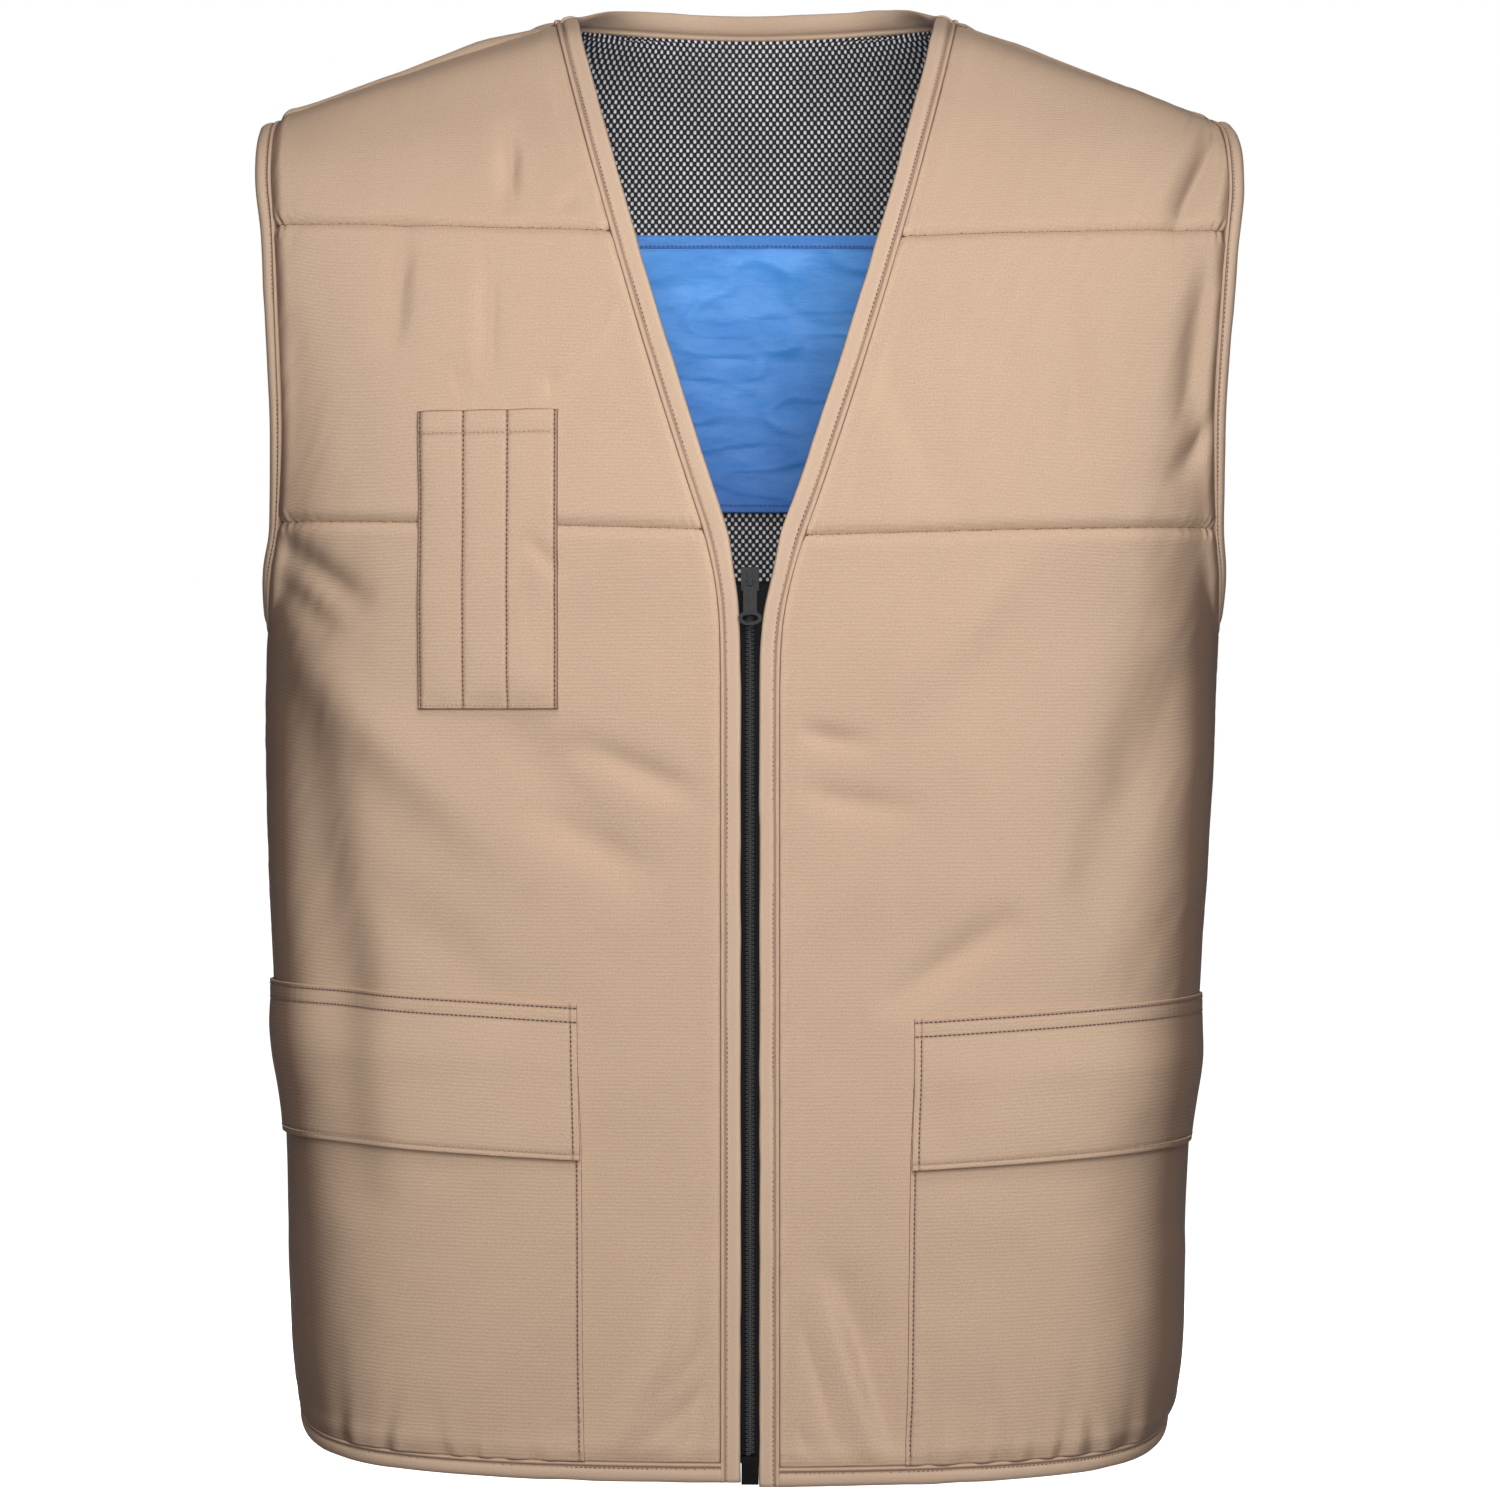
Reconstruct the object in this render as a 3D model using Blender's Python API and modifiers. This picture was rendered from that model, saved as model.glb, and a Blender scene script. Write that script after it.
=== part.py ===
"""Cooling vest: a quilted work vest with a zip, as it looks when it is worn.

The origin lies midway between the two points where the shoulder seams meet the neck. The front faces -Y, the
wearer's left is +X and +Z is up, in metres. "Right" and "left" are the wearer's.
"""

from collections import namedtuple
from math import acos, asin, cos, exp, pi, radians, sin

import bmesh
import bpy
from mathutils import Matrix, Vector

# The body of the vest
PANEL_LENGTH = 0.686
CHEST_HALF = 0.240
FRONT_DEPTH = 0.125
BACK_DEPTH = 0.122
SEAM_FORWARD = 0.012
ROUNDNESS = 2.2
ARMHOLE_FRONT = 0.062
ARMHOLE_BACK = 0.060
HEM_RISE = 0.020
HEM_POWER = 6
NECK_BACK = 0.088
NECK_RISE = 0.001
NECK_POWER = 1.12
ZIP_OPENING = 0.0135
RIGHT, LEFT = -1, 1
NECK_HALF = {RIGHT: 0.0955, LEFT: 0.1015}
V_DEPTH = {RIGHT: 0.280, LEFT: 0.2915}
V_BOW = {RIGHT: 0.0035, LEFT: 0.0050}

# Cloth thicknesses, and the gap that is left between two pieces
PANEL_THICKNESS = 0.003
BINDING_THICKNESS = 0.004
LINING_THICKNESS = 0.001
LINING_CLEARANCE = 0.0014
INSERT_THICKNESS = 0.0025
BAND_THICKNESS = 0.0012
POCKET_THICKNESS = 0.0015
TAPE_THICKNESS = 0.0008
GAP = 0.0003
END_GAP = 0.0006
NECK_GAP = 0.0009
EDGE_DRAW = 0.0004

# Bindings
FRONT_BINDING = 0.0090
V_BINDING = 0.0105
NECK_BINDING = 0.0125
ARMHOLE_BINDING = 0.0090
HEM_BINDING = 0.0085

# The cooling insert, inside the back
INSERT_COLUMN = 6
INSERT_CLEARANCE = 0.0012
INSERT_TOP = 0.094
INSERT_HEIGHT = 0.143
INSERT_ROWS = 6
INSERT_BAND_TOP = 0.0065
INSERT_BAND_BOTTOM = 0.0045

# Pockets
POCKET_BULGE = 0.0030
FLAP_LIFT = 0.0022
POCKET_COLUMN = 2
PEN_WIDTH = 0.065
PEN_HEIGHT = 0.138
PEN_INNER = 0.088
PEN_TOP = 0.201
PEN_LIFT = 0.0010
PEN_COLUMNS = 6
PEN_ROWS = 8

# Zip
TAPE_REACH = 0.016
COIL_WIDTH = 0.0018
COIL_THICKNESS = 0.0013
ZIP_TOP = 0.274
ZIP_ROWS = 24
SLIDER_HALF = 0.0041
SLIDER_HEIGHT = 0.0110
SLIDER_PLATE = 0.0012
SLIDER_WEB = 0.0055
PLATE_CLEARANCE = 0.0009
BACK_PLATE_CLEARANCE = 0.0007
BRIDGE_HALF = 0.0010
BRIDGE_LENGTH = 0.0060
BRIDGE_HOLE = 0.0022
BRIDGE_WALL = 0.0011
PULL_CLEARANCE = 0.0007
PULL_THICKNESS = 0.0012
PULL_LENGTH = 0.0220
PULL_NECK_HALF = 0.0032
PULL_EYE_HALF = 0.0018
PULL_EYE_LENGTH = 0.0037
PULL_RING_HALF = 0.0055
PULL_RING_HEIGHT = 0.0068
PULL_RING_WALL = 0.0017
BOX_HALF = 0.0040
BOX_HEIGHT = 0.0130
BOX_THICKNESS = 0.0036
BOX_BELOW_HEM = 0.0012
PIN_WIDTH = 0.0016
PIN_HEIGHT = 0.0090

# Sections of the body, from the hem up. Heights are shares of PANEL_LENGTH below the neck point, at the front edge
# and at the side edge; the reaches are shares of CHEST_HALF at that side edge; depths are shares of FRONT_DEPTH and
# BACK_DEPTH; the armhole is the share of ARMHOLE_FRONT or ARMHOLE_BACK by which it is open there.
Section = namedtuple("Section", "name edge side left_drop right left front back armhole")
SECTIONS = (
    Section("hem", 1.000, 1.000, 0.003, 0.904, 0.842, 0.985, 0.93, 0.00),
    Section("pocket_foot", 0.942, 0.940, 0.004, 0.914, 0.859, 0.970, 0.92, 0.00),
    Section("flap_foot", 0.802, 0.788, 0.007, 0.924, 0.874, 0.950, 0.88, 0.00),
    Section("mouth", 0.745, 0.732, 0.009, 0.944, 0.893, 0.940, 0.86, 0.00),
    Section("flap_top", 0.698, 0.683, 0.010, 0.957, 0.902, 0.935, 0.85, 0.00),
    Section("waist", 0.608, 0.600, 0.008, 0.969, 0.918, 0.940, 0.86, 0.00),
    Section("ribs", 0.522, 0.520, 0.004, 0.976, 0.932, 0.965, 0.90, 0.00),
    Section("armhole_foot", 0.444, 0.444, 0.000, 0.970, 0.942, 0.990, 0.95, 0.00),
    Section("armhole_low", 0.433, 0.435, 0.000, 0.964, 0.937, 0.993, 0.96, 0.30),
    Section("v_foot", 0.399, 0.399, 0.000, 0.951, 0.929, 1.000, 0.97, 0.68),
    Section("quilt_low", 0.374, 0.364, 0.004, 0.930, 0.917, 0.998, 0.98, 0.84),
    Section("chest", 0.304, 0.299, 0.003, 0.922, 0.913, 0.970, 1.00, 0.98),
    Section("upper_chest", 0.223, 0.218, 0.003, 0.929, 0.924, 0.900, 0.99, 1.00),
    Section("quilt_high", 0.170, 0.159, 0.004, 0.938, 0.938, 0.820, 0.96, 0.90),
    Section("collarbone", 0.115, 0.126, 0.002, 0.950, 0.950, 0.690, 0.90, 0.75),
    Section("shoulder", 0.067, 0.103, 0.000, 0.954, 0.951, 0.500, 0.70, 0.55),
    Section("over_shoulder", 0.025, 0.085, 0.000, 0.956, 0.948, 0.270, 0.40, 0.25),
    Section("seam", 0.0080, 0.0765, 0.000, 0.955, 0.937, 0.000, 0.00, 0.00),
)
LAST = len(SECTIONS) - 1
ROWS_PER_SECTION = 2
FRONT_COLUMNS = 11
BACK_COLUMNS = 10
NECK_COLUMNS = 5

# The yoke of the back, from its top edge down to the section named quilt_high: how far it has dropped and how far it
# has come out there, as shares of the whole, at the middle of the neck and at the shoulder.
Yoke = namedtuple("Yoke", "neck_drop shoulder_drop neck_out shoulder_out")
YOKE_ROWS = (
    Yoke(0.00, 0.00, 0.00, 0.00),
    Yoke(0.07, 0.00, 0.05, 0.10),
    Yoke(0.20, 0.04, 0.22, 0.34),
    Yoke(0.42, 0.22, 0.52, 0.64),
    Yoke(0.70, 0.55, 0.82, 0.88),
    Yoke(1.00, 1.00, 1.00, 1.00),
)
NECK_SHARE = 0.42
SHOULDER_RIDGE = {RIGHT: 0.0048, LEFT: 0.0020}
RIDGE_ROWS = 2
RIDGE_FADE = 0.16

# Folds of the fronts: each runs from one place to another, given as shares of CHEST_HALF to the wearer's left and of
# PANEL_LENGTH down. Widths are shares of FOLD_WIDTH and depths of FOLD_DEPTH, with a ridge above 0 and a dent below.
Fold = namedtuple("Fold", "x0 down0 x1 down1 width depth")
FOLD_WIDTH = 0.020
FOLD_DEPTH = 0.0035
FOLD_FADE = 0.030
INSIDE_DROP = 0.050
FOLDS = (
    Fold(-0.664, 0.173, -0.664, 0.240, 0.8, -0.7),
    Fold(-0.506, 0.185, -0.500, 0.290, 0.7, -0.6),
    Fold(-0.244, 0.216, -0.380, 0.274, 0.8, -0.7),
    Fold(-0.319, 0.520, -0.088, 0.558, 0.7, -0.8),
    Fold(-0.404, 0.568, -0.235, 0.601, 0.7, -0.6),
    Fold(0.614, 0.225, 0.614, 0.325, 0.9, -0.7),
    Fold(0.860, 0.205, 0.800, 0.300, 0.7, -0.5),
    Fold(0.060, 0.508, 0.230, 0.520, 0.6, -0.8),
    Fold(0.087, 0.552, 0.290, 0.565, 0.7, 0.7),
    Fold(0.500, 0.630, 0.280, 0.690, 0.8, -1.0),
    Fold(0.179, 0.885, 0.279, 1.000, 0.6, 1.0),
    Fold(-0.096, 0.920, -0.194, 0.967, 0.6, 0.7),
)

Look = namedtuple("Look", "colour roughness metallic")
LOOKS = {
    "shell_cloth": Look((0.58, 0.44, 0.32), 0.9, 0.0),
    "lining_net": Look((0.02, 0.02, 0.025), 0.8, 0.0),
    "insert_cloth": Look((0.07, 0.25, 0.62), 0.6, 0.0),
    "zip_tape": Look((0.015, 0.015, 0.017), 0.8, 0.0),
    "zip_metal": Look((0.03, 0.03, 0.035), 0.4, 0.6),
}


def clear_scene():
    for thing in list(bpy.data.objects):
        bpy.data.objects.remove(thing, do_unlink=True)


def material(name):
    look = LOOKS[name]
    made = bpy.data.materials.get(name) or bpy.data.materials.new(name)
    made.use_nodes = True
    shader = made.node_tree.nodes["Principled BSDF"]
    shader.inputs["Base Color"].default_value = (*look.colour, 1.0)
    shader.inputs["Roughness"].default_value = look.roughness
    shader.inputs["Metallic"].default_value = look.metallic
    return made


def vest_collection():
    found = bpy.data.collections.get("cooling_vest")
    if found is None:
        found = bpy.data.collections.new("cooling_vest")
        bpy.context.scene.collection.children.link(found)
    return found


def add_object(name, mesh, look, parent=None):
    obj = bpy.data.objects.new(name, mesh)
    vest_collection().objects.link(obj)
    mesh.materials.clear()
    mesh.materials.append(material(look))
    obj.parent = parent
    return obj


def mix(a, b, share):
    return a + (b - a) * share


def smooth_step(share):
    share = min(max(share, 0.0), 1.0)
    return share * share * (3 - 2 * share)


def through(values, place):
    """A smooth curve through the values, which lie at 0, 1, 2 and so on, read at a place. It never overshoots."""
    index = min(int(place), len(values) - 2)
    share = place - index
    step = values[index + 1] - values[index]

    def slope(at):
        if at in (0, len(values) - 1):
            return 0.0 if at else values[1] - values[0]
        before, after = values[at] - values[at - 1], values[at + 1] - values[at]
        return 2 * before * after / (before + after) if before * after > 0 else 0.0

    start = slope(index)
    end = slope(index + 1) if index + 1 < len(values) - 1 else step
    square, cube = share**2, share**3
    return (
        values[index] * (2 * cube - 3 * square + 1)
        + start * (cube - 2 * square + share)
        + values[index + 1] * (3 * square - 2 * cube)
        + end * (cube - square)
    )


def section_at(side, place):
    """The section at a place counted in rows of SECTIONS from the hem, for the right (-1) or the left (1)."""
    values = {
        name: through([getattr(row, name) for row in SECTIONS], place)
        for name in Section._fields[1:]
    }
    drop = values["left_drop"] if side > 0 else 0.0
    return {
        "edge": values["edge"] + drop,
        "side": values["side"] + drop,
        "reach": CHEST_HALF * values["left" if side > 0 else "right"],
        "front": FRONT_DEPTH * values["front"],
        "back": BACK_DEPTH * values["back"],
        "armhole": max(values["armhole"], 0.0),
    }


def edge_reach(side, down):
    """How far from the middle the front edge lies, a distance below the neck: straight up the zip, then along the V."""
    share = max(1 - down / V_DEPTH[side], 0.0)
    return mix(ZIP_OPENING, NECK_HALF[side], share) + V_BOW[side] * 4 * share * (1 - share)


def full_reach(reach, depth, opening):
    """The reach that a section would have with no armhole, so that at its edge it is as wide as it should be."""
    if depth <= opening or opening <= 0:
        return reach
    return reach / (1 - (opening / depth) ** ROUNDNESS) ** (1 / ROUNDNESS)


def angle_of(x, full):
    return asin(min(abs(x) / full, 1.0) ** (ROUNDNESS / 2))


def around(full, depth, angle):
    """A point on a quarter of the section, from its middle at angle 0 to its side at a right angle."""
    power = 2 / ROUNDNESS
    return full * sin(angle) ** power, depth * max(cos(angle), 0.0) ** power


def hem_rise(angle, place):
    """How much the hem is higher toward the side seam."""
    return HEM_RISE * max(1 - place, 0.0) * (angle / (pi / 2)) ** HEM_POWER


def front_at_x(side, x, place):
    """The middle of the front cloth at a distance x from the middle of the vest."""
    row = section_at(side, place)
    full = full_reach(row["reach"], row["front"], ARMHOLE_FRONT * row["armhole"])
    depth = around(full, row["front"], angle_of(x, full))[1]
    start = edge_reach(side, PANEL_LENGTH * row["edge"])
    down = mix(row["edge"], row["side"], (x - start) / (row["reach"] - start))
    rise = hem_rise(angle_of(x, full), place)
    return Vector((side * x, -SEAM_FORWARD - depth, rise - PANEL_LENGTH * down))


def front_at(side, share, place):
    """The middle of the front cloth, a share of the way from the front edge to the side edge."""
    row = section_at(side, place)
    full = full_reach(row["reach"], row["front"], ARMHOLE_FRONT * row["armhole"])
    start = angle_of(edge_reach(side, PANEL_LENGTH * row["edge"]), full)
    end = angle_of(row["reach"], full)
    return front_at_x(side, around(full, row["front"], mix(start, end, share))[0], place)


def back_row(side, share, place):
    """The middle of the back cloth, a share of the way from the middle of the back to the side edge."""
    row = section_at(side, place)
    full = full_reach(row["reach"], row["back"], ARMHOLE_BACK * row["armhole"])
    angle = angle_of(row["reach"], full) * share
    x, depth = around(full, row["back"], angle)
    down = mix(row["edge"], row["side"], x / row["reach"])
    return Vector((side * x, depth - SEAM_FORWARD, hem_rise(angle, place) - PANEL_LENGTH * down))


def back_top(side, share):
    """The top edge of the back: round the neck, then along the shoulder seam."""
    if share < NECK_SHARE:
        turn = share / NECK_SHARE * pi / 2
        x = NECK_HALF[side] * sin(turn) ** NECK_POWER
        depth = NECK_BACK * cos(turn) ** NECK_POWER
        height = mix(-PANEL_LENGTH * SECTIONS[-1].edge, NECK_RISE, cos(turn) ** 0.5)
        return Vector((side * x, depth - SEAM_FORWARD, height))
    along = (share - NECK_SHARE) / (1 - NECK_SHARE)
    return front_at(side, along, LAST)


YOKE_PLACE = [row.name for row in SECTIONS].index("quilt_high")
BACK_LAST = YOKE_PLACE + len(YOKE_ROWS) - 1


def shoulder_ridge(side, share, row):
    """How far the shoulder stands up behind its seam. The ridge fades out toward the neck and the arm."""
    along = (share - NECK_SHARE) / (1 - NECK_SHARE)
    behind = sin(pi * min(row / RIDGE_ROWS, 1.0))
    return SHOULDER_RIDGE[side] * behind * smooth_step(min(along, 1 - along) / RIDGE_FADE)


def back_at(side, share, place):
    """The middle of the back cloth, at a place counted in rows from the hem, on past YOKE_PLACE up the yoke."""
    if place <= YOKE_PLACE:
        return back_row(side, share, place)
    row = BACK_LAST - place
    toward_shoulder = smooth_step(share / NECK_SHARE) ** 1.5

    def part(neck, shoulder):
        values = [mix(getattr(r, neck), getattr(r, shoulder), toward_shoulder) for r in YOKE_ROWS]
        return through(values, row)

    drop = part("neck_drop", "shoulder_drop")
    out = part("neck_out", "shoulder_out")
    top, low = back_top(side, share), back_row(side, share, YOKE_PLACE)
    x = mix(top.x, low.x, 1 - (1 - out) ** 3)
    height = mix(top.z, low.z, drop) + shoulder_ridge(side, share, row)
    return Vector((x, mix(top.y, low.y, out), height))


def place_of(side, x, down):
    """The place, in rows from the hem, where the front cloth at x lies a distance below the neck."""
    return bisected(lambda place: -front_at_x(side, x, place).z > down, LAST)


def back_place_of(side, share, down):
    """The same for the back cloth, at a share of the way to the side edge."""
    return bisected(lambda place: -back_at(side, share, place).z > down, BACK_LAST)


def bisected(is_below, highest):
    low, high = 0.0, float(highest)
    for _ in range(24):
        middle = (low + high) / 2
        if is_below(middle):
            low = middle
        else:
            high = middle
    return low


def fold_height(point):
    """How far the folds push the front cloth out at a point of it. They fade toward the zip."""
    height = 0.0
    for fold in FOLDS:
        start = Vector((fold.x0 * CHEST_HALF, -fold.down0 * PANEL_LENGTH))
        run = Vector((fold.x1 * CHEST_HALF, -fold.down1 * PANEL_LENGTH)) - start
        away = Vector((point.x, point.z)) - start
        along = min(max(away.dot(run) / run.length_squared, 0.0), 1.0)
        distance = (away - run * along).length / (FOLD_WIDTH * fold.width)
        height += FOLD_DEPTH * fold.depth * exp(-distance * distance)
    return height * smooth_step((abs(point.x) - ZIP_OPENING) / FOLD_FADE)


def facing(surface, u, v, step_u=0.01, step_v=0.01):
    """The direction away from the wearer, square to a surface given as a function of two values."""
    a = surface(u + step_u, v) - surface(u - step_u, v)
    b = surface(u, v + step_v) - surface(u, v - step_v)
    normal = a.cross(b).normalized()
    point = surface(u, v)
    inside = Vector((0.0, -SEAM_FORWARD, point.z - INSIDE_DROP))
    return normal if normal.dot(point - inside) > 0 else -normal


def cloth(surface, across, up, lift=0.0, folded=False):
    """Rows of points of a surface, at a lift from its middle that is a length or a function of the two values."""
    rows = []
    for v in up:
        row = []
        for u in across:
            point = surface(u, v)
            height = lift(u, v) if callable(lift) else lift
            height += fold_height(point) if folded else 0.0
            row.append(point + facing(surface, u, v) * height)
        rows.append(row)
    return rows


def front_cloth(side, across, up, lift=0.0):
    """Front cloth, with across as shares from the front edge to the side edge and up as places in SECTIONS."""

    def surface(share, place):
        return front_at(side, min(max(share, 0.0), 1.0), min(max(place, 0.0), LAST))

    return cloth(surface, across, up, lift, folded=True)


def measured_front(side, across, down, lift=0.0):
    """Front cloth, with across as distances from the middle of the vest and down as distances below the neck."""

    def surface(x, below):
        return front_at_x(side, x, place_of(side, x, below))

    return cloth(surface, across, down, lift, folded=True)


def back_cloth(across, up, lift=0.0):
    """Back cloth, with across from -1 at the right side edge to 1 at the left and up as places on the back."""

    def surface(share, place):
        side = LEFT if share > 0 else RIGHT
        return back_at(side, min(abs(share), 1.0), min(max(place, 0.0), BACK_LAST))

    return cloth(surface, across, up, lift)


def level_back(across, down, lift=0.0):
    """Back cloth in level rows, with down as distances below the neck."""

    def surface(share, below):
        side = LEFT if share > 0 else RIGHT
        return back_at(side, abs(share), back_place_of(side, abs(share), below))

    return cloth(surface, across, down, lift)


def turned(rows):
    """The same points with rows and columns changed round."""
    return [list(column) for column in zip(*rows)]


def inward(edge, inner, i):
    """The direction from a point of an edge into the cloth, square to the edge between its neighbours."""
    along = (edge[min(i + 1, len(edge) - 1)] - edge[max(i - 1, 0)]).normalized()
    way = inner[i] - edge[i]
    return (way - along * way.dot(along)).normalized()


def pulled_in(rows, amount=EDGE_DRAW):
    """The same rows with their outer edge drawn in, which leaves a seam's gap to the next piece."""
    drawn = [[point.copy() for point in row] for row in rows]
    last_row, last = len(rows) - 1, len(rows[0]) - 1
    columns = turned(rows)
    for i in range(last_row + 1):
        drawn[i][0] += inward(columns[0], columns[1], i) * amount
        drawn[i][last] += inward(columns[last], columns[last - 1], i) * amount
    for j in range(last + 1):
        drawn[0][j] += inward(rows[0], rows[1], j) * amount
        drawn[last_row][j] += inward(rows[last_row], rows[last_row - 1], j) * amount
    return drawn


def sheet(name, rows, thickness, look, closed=False):
    """Cloth through rows of points, as thick on one side of them as on the other."""
    shape = bmesh.new()
    verts = [[shape.verts.new(point) for point in row] for row in rows]
    pairs = list(zip(verts, verts[1:] + verts[:1])) if closed else list(zip(verts, verts[1:]))
    for low, high in pairs:
        for j in range(len(low) - 1):
            shape.faces.new((low[j], low[j + 1], high[j + 1], high[j]))
    mesh = bpy.data.meshes.new(name)
    shape.to_mesh(mesh)
    shape.free()
    obj = add_object(name, mesh, look)
    wall = obj.modifiers.new("wall", "SOLIDIFY")
    wall.thickness = thickness
    wall.offset = 0.0
    mesh.shade_smooth()
    return obj


def spread(start, end, count):
    return [mix(start, end, i / count) for i in range(count + 1)]


# The columns of the back panel that the lining has too, so that it can't cut into it
LINING_COLUMNS = (0, 2, NECK_COLUMNS, INSERT_COLUMN, 8, 9)

# Shares of the way to the side edge: where the cargo pockets begin, and the last column of points before the edge
POCKET_EDGE = 0.18
SIDE_SHARE = 0.97
FRONT_SHARES = (
    spread(0.0, POCKET_EDGE, POCKET_COLUMN)
    + spread(POCKET_EDGE, SIDE_SHARE, FRONT_COLUMNS - POCKET_COLUMN - 1)[1:]
    + [1.0]
)
FRONT_PLACES = spread(0.0, LAST, LAST * ROWS_PER_SECTION)
BACK_PLACES = spread(0.0, BACK_LAST, BACK_LAST * ROWS_PER_SECTION)
HALF_BACK_SHARES = (
    spread(0.0, NECK_SHARE, NECK_COLUMNS)
    + spread(NECK_SHARE, SIDE_SHARE, BACK_COLUMNS - NECK_COLUMNS - 1)[1:]
    + [1.0]
)
BACK_SHARES = [-share for share in HALF_BACK_SHARES[:0:-1]] + HALF_BACK_SHARES
HALF_LINING_SHARES = [HALF_BACK_SHARES[column] for column in LINING_COLUMNS]
LINING_SHARES = [-share for share in HALF_LINING_SHARES[:0:-1]] + HALF_LINING_SHARES
SIDE_NAMES = {RIGHT: "right", LEFT: "left"}


def place_named(name):
    return [row.name for row in SECTIONS].index(name)


def make_panels():
    for side, word in SIDE_NAMES.items():
        rows = front_cloth(side, FRONT_SHARES, FRONT_PLACES)
        sheet(f"front_panel_{word}", pulled_in(rows), PANEL_THICKNESS, "shell_cloth")
    rows = back_cloth(BACK_SHARES, BACK_PLACES)
    sheet("back_panel", pulled_in(rows), PANEL_THICKNESS, "shell_cloth")


# A station of a binding: a point on the edge that it follows, and the way that the cloth faces there
Station = namedtuple("Station", "point facing")


def edge_stations(make_rows, column):
    """The stations along one column of rows of cloth, from the function that makes the rows at a lift."""
    rows, raised = make_rows(0.0), make_rows(1.0)
    return [
        Station(row[column], (high[column] - row[column]).normalized())
        for row, high in zip(rows, raised)
    ]


# A step of a binding: a point on the edge that it follows, and the direction in which it goes on from the cloth
Step = namedtuple("Step", "point out")


def steps_along(stations, closed=False):
    """Steps whose directions lie in the cloth, square to its edge, to the right of the way that they run."""
    made = []
    count = len(stations)
    for i, station in enumerate(stations):
        before = stations[i - 1] if i or closed else station
        after = stations[(i + 1) % count] if i < count - 1 or closed else station
        along = after.point - before.point
        made.append(Step(station.point, along.cross(station.facing).normalized()))
    return made


def binding(name, steps, width, closed=False, start=GAP):
    """A band that goes on from the cloth's edge, its width given as a function of the step's number."""
    rows = []
    for i, (point, out) in enumerate(steps):
        reach = width(i) if callable(width) else width
        rows.append([point + out * start, point + out * reach])
    if not closed:
        rows[0] = [p + (q - p).normalized() * END_GAP for p, q in zip(rows[0], rows[1])]
        rows[-1] = [p + (q - p).normalized() * END_GAP for p, q in zip(rows[-1], rows[-2])]
    return sheet(name, rows, BINDING_THICKNESS, "shell_cloth", closed)


def make_neck_and_front_bindings():
    """One run of steps goes up the right front edge, round the neck and down the left front edge."""
    front = {}
    for side in SIDE_NAMES:
        stations = edge_stations(lambda lift: front_cloth(side, (0.0,), FRONT_PLACES, lift), 0)
        foot = stations[0].point + Vector((0.0, 0.0, -HEM_BINDING))
        front[side] = [Station(foot, stations[0].facing)] + stations
    neck_shares = [share for share in BACK_SHARES if abs(share) < NECK_SHARE]
    neck = edge_stations(lambda lift: turned(back_cloth(neck_shares, (BACK_LAST,), lift)), 0)
    chain = steps_along(front[RIGHT] + neck + front[LEFT][::-1])
    count, inner = len(front[RIGHT]), len(neck)
    v_index = 1 + place_named("v_foot") * ROWS_PER_SECTION

    def front_width(i):
        return mix(FRONT_BINDING, V_BINDING, smooth_step((i - v_index + 2) / 4))

    def neck_width(i):
        end = min(i, inner + 1 - i) / 2
        return mix(V_BINDING, NECK_BINDING, smooth_step(end))

    binding("front_edge_binding_right", chain[:count], front_width)
    binding("front_edge_binding_left", chain[-count:][::-1], front_width)
    binding(
        "back_neck_binding", chain[count - 1 : count + inner + 1], neck_width, start=NECK_GAP
    )


def make_armhole_bindings():
    first = place_named("armhole_foot") * ROWS_PER_SECTION
    for side, word in SIDE_NAMES.items():
        front = edge_stations(lambda lift: front_cloth(side, (1.0,), FRONT_PLACES[first:], lift), 0)
        back = edge_stations(lambda lift: back_cloth((side,), BACK_PLACES[first:], lift), 0)
        ring = front + back[-2:0:-1]
        if side == RIGHT:
            ring.reverse()
        steps = steps_along(ring, closed=True)
        binding(f"armhole_binding_{word}", steps, ARMHOLE_BINDING, closed=True, start=END_GAP)


def make_hem_binding():
    right, left = (
        edge_stations(lambda lift: turned(front_cloth(side, FRONT_SHARES, (0.0,), lift)), 0)
        for side in SIDE_NAMES
    )
    back = edge_stations(lambda lift: turned(back_cloth(BACK_SHARES, (0.0,), lift)), 0)
    chain = left + back[-2:0:-1] + right[::-1]
    binding("hem_binding", steps_along(chain), HEM_BINDING)


def make_back_lining():
    lift = -(PANEL_THICKNESS / 2 + LINING_CLEARANCE + LINING_THICKNESS / 2)
    low = spread(0.0, place_named("quilt_low"), place_named("quilt_low"))
    high = BACK_PLACES[place_named("quilt_low") * ROWS_PER_SECTION + 1 :]
    rows = back_cloth(LINING_SHARES, low + high, lift)
    sheet("back_lining", pulled_in(rows, LINING_CLEARANCE), LINING_THICKNESS, "lining_net")


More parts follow.
